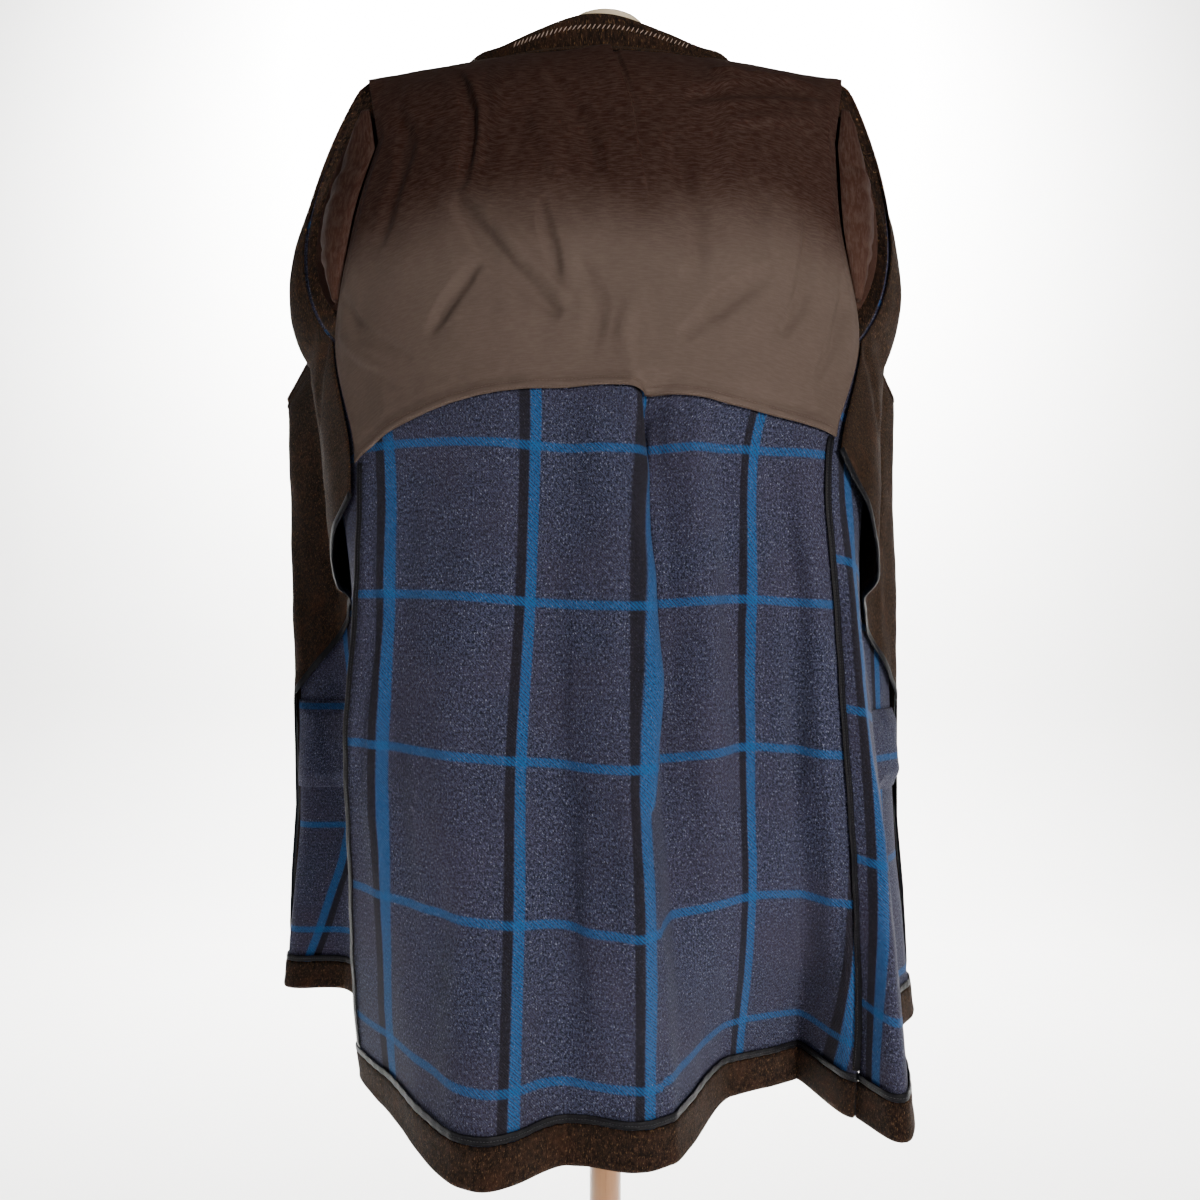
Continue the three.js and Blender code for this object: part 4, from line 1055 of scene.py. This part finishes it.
def crest_row(side, a, i, share, out):
    t = loop_share(a)
    back, front = armhole_pair(side, np.clip(t, 0.09, 0.92))
    over = front - back
    inset = np.minimum(13, 0.34 * np.linalg.norm(over, axis=-1))[:, None]
    outward = unit(np.stack([side * np.abs(over[:, 1]), -np.abs(over[:, 0]), np.zeros(len(a))], -1))
    near = front - unit(over) * inset
    near[:, 0] -= side * (2 + 3 * i)
    swell = np.sin(math.pi * np.clip(t, 0, 1)) ** 0.6
    rise = out * swell if out > 0 else np.full_like(t, float(out))
    far = back + over * (share * swell + 0.03)[:, None] + outward * rise[:, None]
    return np.where((a > 0.5)[:, None], end_inset(near, t, 13), end_inset(far, t, 17))


def refine(rows, count):
    """Rows of points joined by a smooth curve through each column, with count rows in all."""
    rows = np.asarray(rows, float)
    reach = np.r_[0, np.cumsum(np.linalg.norm(np.diff(rows, axis=0), axis=-1).mean(axis=1))]
    at = np.unique(np.concatenate([np.linspace(0, reach[-1], count), reach]))
    slope = np.gradient(rows, reach, axis=0) * 0.7
    out = []
    for s in at:
        k = min(max(int(np.searchsorted(reach, s, side="left")) - 1, 0), len(reach) - 2)
        span = reach[k + 1] - reach[k]
        t = (s - reach[k]) / span
        out.append((1 + 2 * t) * (1 - t) ** 2 * rows[k] + t * (1 - t) ** 2 * span * slope[k]
                   + t * t * (3 - 2 * t) * rows[k + 1] + t * t * (t - 1) * span * slope[k + 1])
    return np.asarray(out), at


def shell(points, thick, sign):
    """The grid and the grid moved by the thickness along its normals, inner first if they point out."""
    normal = grid_normals(points) * sign
    return points, points + normal * thick


class COAT_OT_sleeves(bpy.types.Operator):
    """Two-piece sleeves hanging inside the body, and their linings that bulge out of the armholes"""
    bl_idname = "coat.sleeves"
    bl_label = "Build sleeves"

    def execute(self, context):
        thick = context.scene.coat_sizes.lining / MM
        for side, name in ((-1, "left"), (1, "right")):
            for half, start, end in (("Upper", -0.248, 0.248), ("Under", 0.252, 0.748)):
                a = np.mod(np.linspace(start, end, 42) + 1, 1)
                meets = np.where(a <= 0.5, np.sin(2 * math.pi * a) ** 2, 0)
                into = mix(SLEEVE_HEAD["into"], 1, meets)
                rows = [sleeve_mouth(side, a, SLEEVE_HEAD["inset"], into)]
                rows += [sleeve_ring(side, k, a, 0) for k in range(6)]
                points, at = refine(rows, 90)
                points = self.rumple(points, at, side, 1.2)
                inner, outer = shell(points, 2.2, side)
                body, skin = (inner, outer) if side > 0 else (outer, inner)
                sleeve = cloth(f"{half} sleeve {name}", body, skin, {"Cloth": cloth_uv(points)},
                               (face_wool(),))
                face_out(sleeve)
                finish_piece(sleeve, "face_wool", f"{half.lower()}_sleeve_{name}")
                declare(points, ("Back panel", f"Front {name}"))
            a = np.linspace(0.004, 0.996, 96)
            rows = [crest_row(side, a, i, *row) for i, row in enumerate(CREST)]
            rows.append(sleeve_mouth(side, a, SLEEVE_HEAD["lining_inset"], SLEEVE_HEAD["lining_into"]))
            rows += [sleeve_ring(side, k, a, LINING_INSET[k]) for k in range(6)]
            points, at = refine(rows, 120)
            points = self.rumple(points, at, side, 1.5)
            inner, outer = shell(points, thick, side)
            body, skin = (inner, outer) if side > 0 else (outer, inner)
            # The sleeve lining is painted darker towards the top, between about 1.2 and 1.5 m: the same
            # painted shade by height.
            mat = sateen("Sleeve lining sateen", "#2c160e", "#432a20", 1.20, 1.50)
            lining = cloth(f"Sleeve lining {name}", body, skin, {"Cloth": cloth_uv(points)}, (mat,))
            face_out(lining)
            finish_piece(lining, "lining", f"sleeve_lining_{name}")
            declare(points, (f"Upper sleeve {name}",))
        return {"FINISHED"}

    def rumple(self, points, at, side, size):
        """Soft cross folds of a hanging sleeve, gone at both ends."""
        around = np.linspace(0, 1, points.shape[1])[None, :]
        down = (at / at[-1])[:, None]
        held = ease(down / 0.12) * ease((1 - down) / 0.06)
        fold = np.sin(down * 31 + around * 9 + side) * np.sin(around * 14 + down * 7) + 0.5 * np.sin(down
            * 57 - around * 13)
        crest = ease(down / 0.01) * (1 - ease((down - 0.1) / 0.1)) * np.sin(math.pi * np.clip(around * 2, 0,
            1))
        pucker = np.sin(around * 118 + 5 * np.sin(down * 40)) * (0.7 + 0.5 * np.sin(around * 41))
        lift = size * (0.5 + 0.5 * fold) * held - 1.1 * crest * pucker
        return points - grid_normals(points) * side * lift[..., None]


COLLAR_PROFILE = ((-2.4, -1), (-1.6, 18), (-1.6, 34), (-5, 40), (-9, 36), (-10, 16))
NECK_MIDDLE = np.array([-8.0, -30.0, 0.0])
COLLAR_LIFT = (7, 27)


class COAT_OT_collar(bpy.types.Operator):
    """Stand and fall of the collar, seen from its under side"""
    bl_idname = "coat.collar"
    bl_label = "Build collar"

    def execute(self, context):
        foot, height = collar_path(120)
        away = foot - NECK_MIDDLE
        away[:, 2] = 0
        away = unit(away)
        rows = [foot + away * out + np.stack([0 * height, 0 * height, up * height], -1) for out,
                up in COLLAR_PROFILE]
        points, at = refine(rows, 26)
        points[..., 2] += 0.8 * np.sin(np.linspace(0, 40, points.shape[1]))[None, :] * ease(at / 20)[:, None]
        inner, outer = shell(points, 1.2, 1)
        inner = points * 2 - outer
        collar = cloth("Collar", inner, outer, {"Cloth": cloth_uv(points)}, (face_wool(),))
        face_out(collar)
        finish_piece(collar, "face_wool", "collar")
        declare(points, ("Back neck facing",))
        return {"FINISHED"}


def collar_path(count):
    """The collar's foot from the left front over the back neck to the right front, and its height there."""
    feet, heights = [], []
    for w in (0.61, 0.57, 0.54):
        feet.append(front_top(-1, np.array([w]))[0] + [0, 0, COLLAR_LIFT[1]])
        heights.append(0.4)
    for u in np.linspace(-ARMHOLE_SHARE, ARMHOLE_SHARE, 15):
        near = float(ease((abs(u) - 0.06) / 0.4))
        feet.append(top_line(np.array([u]))[0] + [0, 0, COLLAR_LIFT[0] * near])
        heights.append(mix(1, 0.3, near))
    for w in (0.54, 0.57, 0.61):
        feet.append(front_top(1, np.array([w]))[0] + [0, 0, COLLAR_LIFT[1]])
        heights.append(0.4)
    feet, heights = np.asarray(feet), np.asarray(heights)
    reach = np.r_[0, np.cumsum(np.linalg.norm(np.diff(feet, axis=0), axis=-1))]
    at = np.linspace(0, reach[-1], count)
    smooth = np.stack([np.interp(at, reach, feet[:, k]) for k in range(3)] + [np.interp(at, reach,
            heights)], -1)
    for _ in range(3):
        smooth[1:-1] = (smooth[:-2] + 2 * smooth[1:-1] + smooth[2:]) / 4
    return smooth[:, :3].copy(), smooth[:, 3].copy()


TORSO_ROWS = ((790, 70, 50, -34), (802, 124, 76, -34), (850, 146, 86, -34), (930, 148, 88, -34),
              (1030, 134, 82, -36), (1120, 124, 78, -38), (1220, 134, 84, -42), (1320, 146, 88, -44),
              (1400, 152, 84, -46), (1460, 156, 74, -48), (1512, 158, 56, -48), (1545, 158, 34, -46),
              (1563, 156, 13, -44), (1569, 152, 5, -43.6))
CAP_PROFILE = ((0, 1600.4), (43, 1600.4), (44, 1604), (42, 1611), (34, 1616), (18, 1619.4), (0, FORM_HEIGHT))
POLE_PROFILE = ((0, 22.4), (14, 22.4), (15, 23.4), (15, 788.6), (14, 789.6), (0, 789.6))
BASE_PROFILE = ((0, 0), (186, 0), (189, 1.5), (190, 4), (188, 12), (176, 14.5), (150, 17), (60, 20),
                (30, 22), (0, 22))
NECK_Y = -42


def spun(name, profile, y, mat, count=96):
    """A closed solid turned about an upright axis."""
    a = np.linspace(0, 2 * math.pi, count, endpoint=False)
    rings = [p for p in profile if p[0] > 0]
    points = np.array([[(r * math.cos(t), y + r * math.sin(t), z) for t in a] for r,
                       z in rings]).reshape(-1, 3)
    vertices = np.concatenate([points, [(0, y, profile[0][1])], [(0, y, profile[-1][1])]])
    faces = [tuple(q) for q in grid_quads(len(rings), count, closed=True)]
    low, high, last = len(points), len(points) + 1, (len(rings) - 1) * count
    for j in range(count):
        k = (j + 1) % count
        faces += [(low, k, j), (high, last + j, last + k)]
    obj = new_object(name, vertices, faces, None, (mat,))
    obj.data.set_sharp_from_angle(angle=math.radians(35))
    return obj


class COAT_OT_form(bpy.types.Operator):
    """Limbless dress form: torso with its neck, cap, pole and round base"""
    bl_idname = "coat.form"
    bl_label = "Build dress form"

    def execute(self, context):
        z = np.unique(np.concatenate([np.linspace(802, 1563, 90), [790, 1569]]))
        columns = [along([r[0] for r in TORSO_ROWS], [r[k] for r in TORSO_ROWS], z) for k in (1, 2, 3)]
        a = np.linspace(0, 2 * math.pi, 96, endpoint=False)
        soft = [np.sign(f(a)) * np.abs(f(a)) ** 0.86 for f in (np.cos, np.sin)]
        wide, deep, y = (np.maximum(c, 4)[:, None] if n < 2 else c[:, None] for n, c in enumerate(columns))
        rings = np.stack([wide * soft[0] * 0.997, y + deep * soft[1] * 0.997,
                          np.broadcast_to(z[:, None], (len(z), 96))], -1)
        vertices = np.concatenate([rings.reshape(-1, 3), [(0, -34, 790)], [(0, -43.6, 1569)]])
        faces = [tuple(q) for q in grid_quads(len(z), 96, closed=True)]
        last = (len(z) - 1) * 96
        for j in range(96):
            k = (j + 1) % 96
            faces += [(len(z) * 96, k, j), (len(z) * 96 + 1, last + j, last + k)]
        torso = new_object("Form torso", vertices, faces, None, (linen(),))
        neck = spun("Form neck", ((0, 1500), (49.5, 1500), (41.8, 1599.6), (0, 1600)), NECK_Y, linen())
        join = torso.modifiers.new("Neck", "BOOLEAN")
        join.operation, join.object, join.solver = "UNION", neck, "EXACT"
        torso.data = bpy.data.meshes.new_from_object(torso.evaluated_get(context.evaluated_depsgraph_get()))
        torso.modifiers.clear()
        torso.data.set_sharp_from_angle(angle=math.radians(40))
        bpy.data.objects.remove(neck)
        finish_piece(torso, "form_cover", "form_torso")
        finish_piece(spun("Form neck cap", CAP_PROFILE, NECK_Y, linen()), "form_cover", "form_neck_cap")
        finish_piece(spun("Form pole", POLE_PROFILE, FORM_Y, beech()), "form_wood", "form_pole")
        finish_piece(spun("Form base", BASE_PROFILE, FORM_Y, beech(), 128), "form_wood", "form_base")
        return {"FINISHED"}


# Half section of a button, radius and height in mm, and the middles of the four
BUTTON_SECTION = ((0, -2), (10.6, -2), (11.7, -1), (12, 0.4), (11.2, 1.7), (9.8, 2), (8.6, 1.2), (0, 1.0))
BUTTON_ACROSS = 1.95
BUTTON_HEIGHTS = (1262, 1142, 1022, 902)
HOLE_OFF = 2.1
THREAD_RADIUS = 0.45


class COAT_OT_buttons(bpy.types.Operator):
    """Four dished buttons on the right front, sewn through their holes"""
    bl_idname = "coat.buttons"
    bl_label = "Build buttons"

    def execute(self, context):
        across = np.array([BUTTON_ACROSS])
        turns = np.arange(8) * math.pi / 4
        ring = THREAD_RADIUS * np.stack([np.cos(turns), np.sin(turns)], -1)
        for k, height in enumerate(BUTTON_HEIGHTS):
            z = np.array([float(height)])
            point, normal = spot(across, z, 1, 2)
            lift = panel_lift(across, z)[0]
            axis = Vector(-normal[0])
            seat = Vector(point[0]) + Vector(normal[0]) * (lift - 2.7)
            button = spun(f"Button {k + 1}", BUTTON_SECTION, 0, horn(), 48)
            turn = axis.to_track_quat("Z", "Y").to_matrix().to_4x4()
            sewn = []
            for n, side in enumerate((-HOLE_OFF, HOLE_OFF)):
                path = np.array([(side, -HOLE_OFF, 0.9), (side, -1.6, 1.7), (side, 0, 2.0),
                                 (side, 1.6, 1.7), (side, HOLE_OFF, 0.9)])
                sewn.append(tube(f"Button thread {k + 1} {n + 1}", path, np.tile([1.0, 0, 0], (5, 1)), ring,
                                 thread("Button thread", "#3a2a20")))
            for piece_made in [button] + sewn:
                shift = np.array([0, -FORM_Y, 0]) * MM
                for vertex in piece_made.data.vertices:
                    local = vertex.co - Vector(shift)
                    vertex.co = turn @ local + seat * MM + Vector(shift)
            finish_piece(button, "button", f"button_{k + 1}")
            for piece_made in sewn:
                finish_piece(piece_made, "button")
        return {"FINISHED"}


def stitch_tree():
    """Geometry Nodes: stitches along a path of edges that carries the cloth's normal at each point."""
    tree = bpy.data.node_groups.get("Stitches along a path")
    if tree is not None:
        return tree
    tree = bpy.data.node_groups.new("Stitches along a path", "GeometryNodeTree")
    face = tree.interface
    face.new_socket("Geometry", in_out="INPUT", socket_type="NodeSocketGeometry")
    for label, value in (("Pitch", 0.003), ("Stitch length", 0.0024), ("Thread radius", 0.0003),
                         ("Turn", 0.0),
                         ("Unevenness", 0.08)):
        face.new_socket(label, in_out="INPUT", socket_type="NodeSocketFloat").default_value = value
    face.new_socket("Seed", in_out="INPUT", socket_type="NodeSocketInt").default_value = 4
    face.new_socket("Material", in_out="INPUT", socket_type="NodeSocketMaterial")
    face.new_socket("Geometry", in_out="OUTPUT", socket_type="NodeSocketGeometry")
    given = add(tree, "NodeGroupInput").outputs
    path = add(tree, "GeometryNodeMeshToCurve", {"Mesh": given["Geometry"]})
    even = add(tree, "GeometryNodeResampleCurve", {"Curve": path.outputs[0], "Length": given["Pitch"]},
               mode="LENGTH")
    ball = add(tree, "GeometryNodeMeshUVSphere", {"Segments": 8, "Rings": 6, "Radius": 1.0})
    half = add(tree, "ShaderNodeMath", {0: given["Stitch length"], 1: 0.5}, operation="MULTIPLY")
    size = add(tree, "ShaderNodeCombineXYZ", {0: half.outputs[0], 1: given["Thread radius"],
                                              2: given["Thread radius"]})
    stitch = add(tree, "GeometryNodeTransform", {"Geometry": ball.outputs[0], "Scale": size.outputs[0]})
    tangent = add(tree, "GeometryNodeInputTangent")
    normal = add(tree, "GeometryNodeInputNamedAttribute", {"Name": "cloth_normal"}, data_type="FLOAT_VECTOR")
    ahead = add(tree, "FunctionNodeAlignRotationToVector", {"Vector": tangent.outputs[0]}, axis="X")
    up = add(tree, "FunctionNodeAlignRotationToVector", {"Rotation": ahead.outputs[0],
                                                         "Vector": normal.outputs[0]},
             axis="Z", pivot_axis="X")
    jitter = add(tree, "FunctionNodeRandomValue", {2: -1.0, 3: 1.0, "Seed": given["Seed"]},
                 data_type="FLOAT")
    spread = add(tree, "ShaderNodeMath", {0: jitter.outputs[1], 1: given["Unevenness"], 2: given["Turn"]},
                 operation="MULTIPLY_ADD")
    angle = add(tree, "ShaderNodeCombineXYZ", {2: spread.outputs[0]})
    turn = add(tree, "FunctionNodeEulerToRotation", {0: angle.outputs[0]})
    turned = add(tree, "FunctionNodeRotateRotation", {"Rotation": up.outputs[0],
                                                      "Rotate By": turn.outputs[0]},
                 rotation_space="LOCAL")
    placed = add(tree, "GeometryNodeInstanceOnPoints", {"Points": even.outputs[0],
                                                        "Instance": stitch.outputs[0],
                                                        "Rotation": turned.outputs[0]})
    real = add(tree, "GeometryNodeRealizeInstances", {0: placed.outputs[0]})
    shade = add(tree, "GeometryNodeSetShadeSmooth", {"Geometry": real.outputs[0]})
    made = add(tree, "GeometryNodeSetMaterial", {"Geometry": shade.outputs[0],
                                                 "Material": given["Material"]})
    add(tree, "NodeGroupOutput", {0: made.outputs[0]})
    return tree


def stitches(name, paths, mat, slot, **values):
    """One plain mesh of stitches along paths, each a pair of points and normals in mm."""
    name = name.replace(" ", "_")
    vertices, normals, edges = [], [], []
    for points, normal in paths:
        base = len(vertices)
        vertices += [tuple(p) for p in (np.asarray(points) + [0, -FORM_Y, 0]) * MM]
        normals += [tuple(n) for n in normal]
        edges += [(base + i, base + i + 1) for i in range(len(points) - 1)]
    mesh = bpy.data.meshes.new(name)
    mesh.from_pydata(vertices, edges, [])
    held = mesh.attributes.new("cloth_normal", "FLOAT_VECTOR", "POINT")
    held.data.foreach_set("vector", np.asarray(normals, float).ravel())
    obj = bpy.data.objects.new(name, mesh)
    bpy.context.scene.collection.objects.link(obj)
    tree = stitch_tree()
    sewing = obj.modifiers.new("Sewing", "NODES")
    sewing.node_group = tree
    identifiers = {s.name: s.identifier for s in tree.interface.items_tree
                   if s.item_type == "SOCKET" and s.in_out == "INPUT"}
    for label, value in values.items():
        sewing[identifiers[label.replace("_", " ")]] = value
    sewing[identifiers["Material"]] = mat
    obj.data = bpy.data.meshes.new_from_object(obj.evaluated_get(bpy.context.evaluated_depsgraph_get()))
    obj.modifiers.clear()
    if len(obj.data.polygons) == 0:
        raise RuntimeError(f"{name} has no stitches")
    finish_piece(obj, slot)
    return obj


class COAT_OT_sewing(bpy.types.Operator):
    """Double row on the lining's hem, hand whip stitches at the collar and fine rows on the bindings"""
    bl_idname = "coat.sewing"
    bl_label = "Sew stitches"

    def execute(self, context):
        sizes = context.scene.coat_sizes
        pitch, thick = sizes.stitch, sizes.lining / MM
        u = np.linspace(-0.985, 0.985, 500)
        rows = []
        for above in (1.6, 7.4):
            z = along(YOKE_U, YOKE_Z, u) + above
            point, normal = spot(u, z, -1, 1)
            lift = 5.2 + thick + 0.12 + panel_lift(u, z) + yoke_extra(u, z)
            rows.append((point + normal * lift[:, None], normal))
        stitches("Lining hem stitches", rows, thread("Brown thread", "#5b4438"), "lining", Pitch=pitch,
                 Stitch_length=pitch * 0.8, Thread_radius=0.26 * MM, Turn=0.0, Unevenness=0.05)
        foot, height = collar_path(260)
        away = foot - NECK_MIDDLE
        away[:, 2] = 0
        away = unit(away)
        reach = (foot[:, 0] > -88) & (foot[:, 0] < 80)
        path = foot + away * (-0.2) + np.stack([0 * height, 0 * height, 25 * height], -1)
        path += away * 1.15
        stitches("Collar whip stitches", [(path[reach], away[reach])], thread("Beige thread", "#b89f90"),
                 "face_wool",
                 Pitch=sizes.whip, Stitch_length=6.2 * MM, Thread_radius=0.42 * MM, Turn=0.95,
                 Unevenness=0.16)
        rows = []
        for side in (-1, 1):
            z = np.linspace(TURN_UP + BINDING_WIDTH + 6, (YOKE_Z[0] if side < 0 else YOKE_Z[-1]) - 4, 360)
            for off in (-0.006, 0.006):
                v = np.full_like(z, side * (1 - 0.018)) + off + 0.0015 * np.sin(z / 31)
                point, normal = spot(v, z, -1, 1)
                rows.append((point + normal * (OVER_CLOTH + 1.95 + panel_lift(v,
            z) + 0.3 * np.sin(z / 9))[:, None], normal))
        v = np.linspace(-1.97, 1.97, 1100)
        z = np.full_like(v, TURN_UP + BINDING_WIDTH / 2)
        for part in (v < -1.004, (v > -0.998) & (v < 0.998), v > 1.004):
            low, high = ((-2, -1), (-1, 1), (1, 2))[0 if v[part][0] < -1.01
                                                    else (1 if v[part][0] < 1 else 2)]
            point, normal = spot(v[part], z[part], low, high)
            lift = OVER_CLOTH + 1.95 + panel_lift(v[part], z[part]) + 0.3 * np.sin(v[part] * 160)
            rows.append((point + normal * lift[:, None], normal))
        stitches("Binding stitches", rows, thread("Black thread", "#2b2b33"), "satin_binding",
                 Pitch=2.8 * MM,
                 Stitch_length=2.1 * MM, Thread_radius=0.2 * MM, Turn=0.0, Unevenness=0.04)
        return {"FINISHED"}


def lamp(name, place, target, size, power, colour="#ffffff"):
    data = bpy.data.lights.new(name, "AREA")
    data.shape, data.size, data.energy = "SQUARE", size, power
    data.color = linear(colour)[:3]
    obj = bpy.data.objects.new(name, data)
    obj.location = place
    obj.rotation_euler = (Vector(target) - Vector(place)).to_track_quat("-Z", "Y").to_euler()
    bpy.context.scene.collection.objects.link(obj)
    return obj


class COAT_OT_stage(bpy.types.Operator):
    """Pale paper sweep, soft light from the upper left and the camera of the photograph"""
    bl_idname = "coat.stage"
    bl_label = "Build stage"

    def execute(self, context):
        sizes = context.scene.coat_stage
        deep = np.concatenate([np.linspace(-3000, 2200, 14),
                               2200 + 800 * np.sin(np.linspace(0.12, math.pi / 2, 12)),
                               np.full(6, 3000.0)])
        high = np.concatenate([np.zeros(14), 800 - 800 * np.cos(np.linspace(0.12, math.pi / 2, 12)),
                               np.linspace(1000, 4200, 6)])
        wide = np.linspace(-4200, 4200, 12)
        points = np.stack([np.broadcast_to(wide[None, :], (32, 12)),
                           np.broadcast_to(deep[:, None], (32, 12)),
                           np.broadcast_to(high[:, None] - 0.5, (32, 12))], -1)
        sweep = new_object("Paper sweep", points.reshape(-1, 3), grid_quads(32, 12), None, (paper(),))
        world = bpy.data.worlds.new("Studio")
        world.use_nodes = True
        world.node_tree.nodes["Background"].inputs[0].default_value = linear("#f7f8fb")
        world.node_tree.nodes["Background"].inputs[1].default_value = 0.12
        context.scene.world = world
        lamp("Key", (1.35, -2.5, 1.35), (0, 0, 1.0), 0.5, sizes.light * 1.3, "#fffaf4")
        lamp("Fill", (-1.2, -2.9, 1.7), (0, 0, 1.0), 1.4, sizes.light * 0.12, "#f0f4ff")
        lamp("Backdrop light", (0, 1.5, 3.5), (0, 3.0, 2.7), 2.4, sizes.light * 22)
        camera = bpy.data.objects.new("Camera", bpy.data.cameras.new("Camera"))
        camera.data.sensor_width, camera.data.lens = 36.0, sizes.lens
        camera.location = (-0.005, -0.916, 0.990)
        camera.rotation_euler = (math.radians(90 + 3.09), 0, 0)
        context.scene.collection.objects.link(camera)
        context.scene.camera = camera
        return {"FINISHED"}


class COAT_PT_panel(bpy.types.Panel):
    """Lists the sizes and the steps"""
    bl_idname = "COAT_PT_panel"
    bl_label = "Car coat"
    bl_space_type = "VIEW_3D"
    bl_region_type = "UI"
    bl_category = "Coat"

    def draw(self, context):
        for sizes in (context.scene.coat_sizes, context.scene.coat_stage):
            for key in sizes.bl_rna.properties.keys():
                if key not in ("rna_type", "name"):
                    self.layout.prop(sizes, key)
        for step in STEPS:
            self.layout.operator(step.bl_idname)


STEPS = (COAT_OT_body, COAT_OT_yoke, COAT_OT_facings, COAT_OT_edges, COAT_OT_sleeves, COAT_OT_collar,
         COAT_OT_form, COAT_OT_buttons, COAT_OT_sewing, COAT_OT_stage)
CLASSES = (CoatSizes, StageSizes) + STEPS + (COAT_PT_panel,)


def register():
    for cls in CLASSES:
        bpy.utils.register_class(cls)
    bpy.types.Scene.coat_sizes = bpy.props.PointerProperty(type=CoatSizes)
    bpy.types.Scene.coat_stage = bpy.props.PointerProperty(type=StageSizes)


def unregister():
    del bpy.types.Scene.coat_stage
    del bpy.types.Scene.coat_sizes
    for cls in reversed(CLASSES):
        bpy.utils.unregister_class(cls)


def main():
    register()
    bpy.ops.coat.body()
    bpy.ops.coat.yoke()
    bpy.ops.coat.facings()
    bpy.ops.coat.edges()
    bpy.ops.coat.sleeves()
    bpy.ops.coat.collar()
    bpy.ops.coat.form()
    bpy.ops.coat.buttons()
    bpy.ops.coat.sewing()
    bpy.ops.coat.stage()


if __name__ == "__main__":
    main()
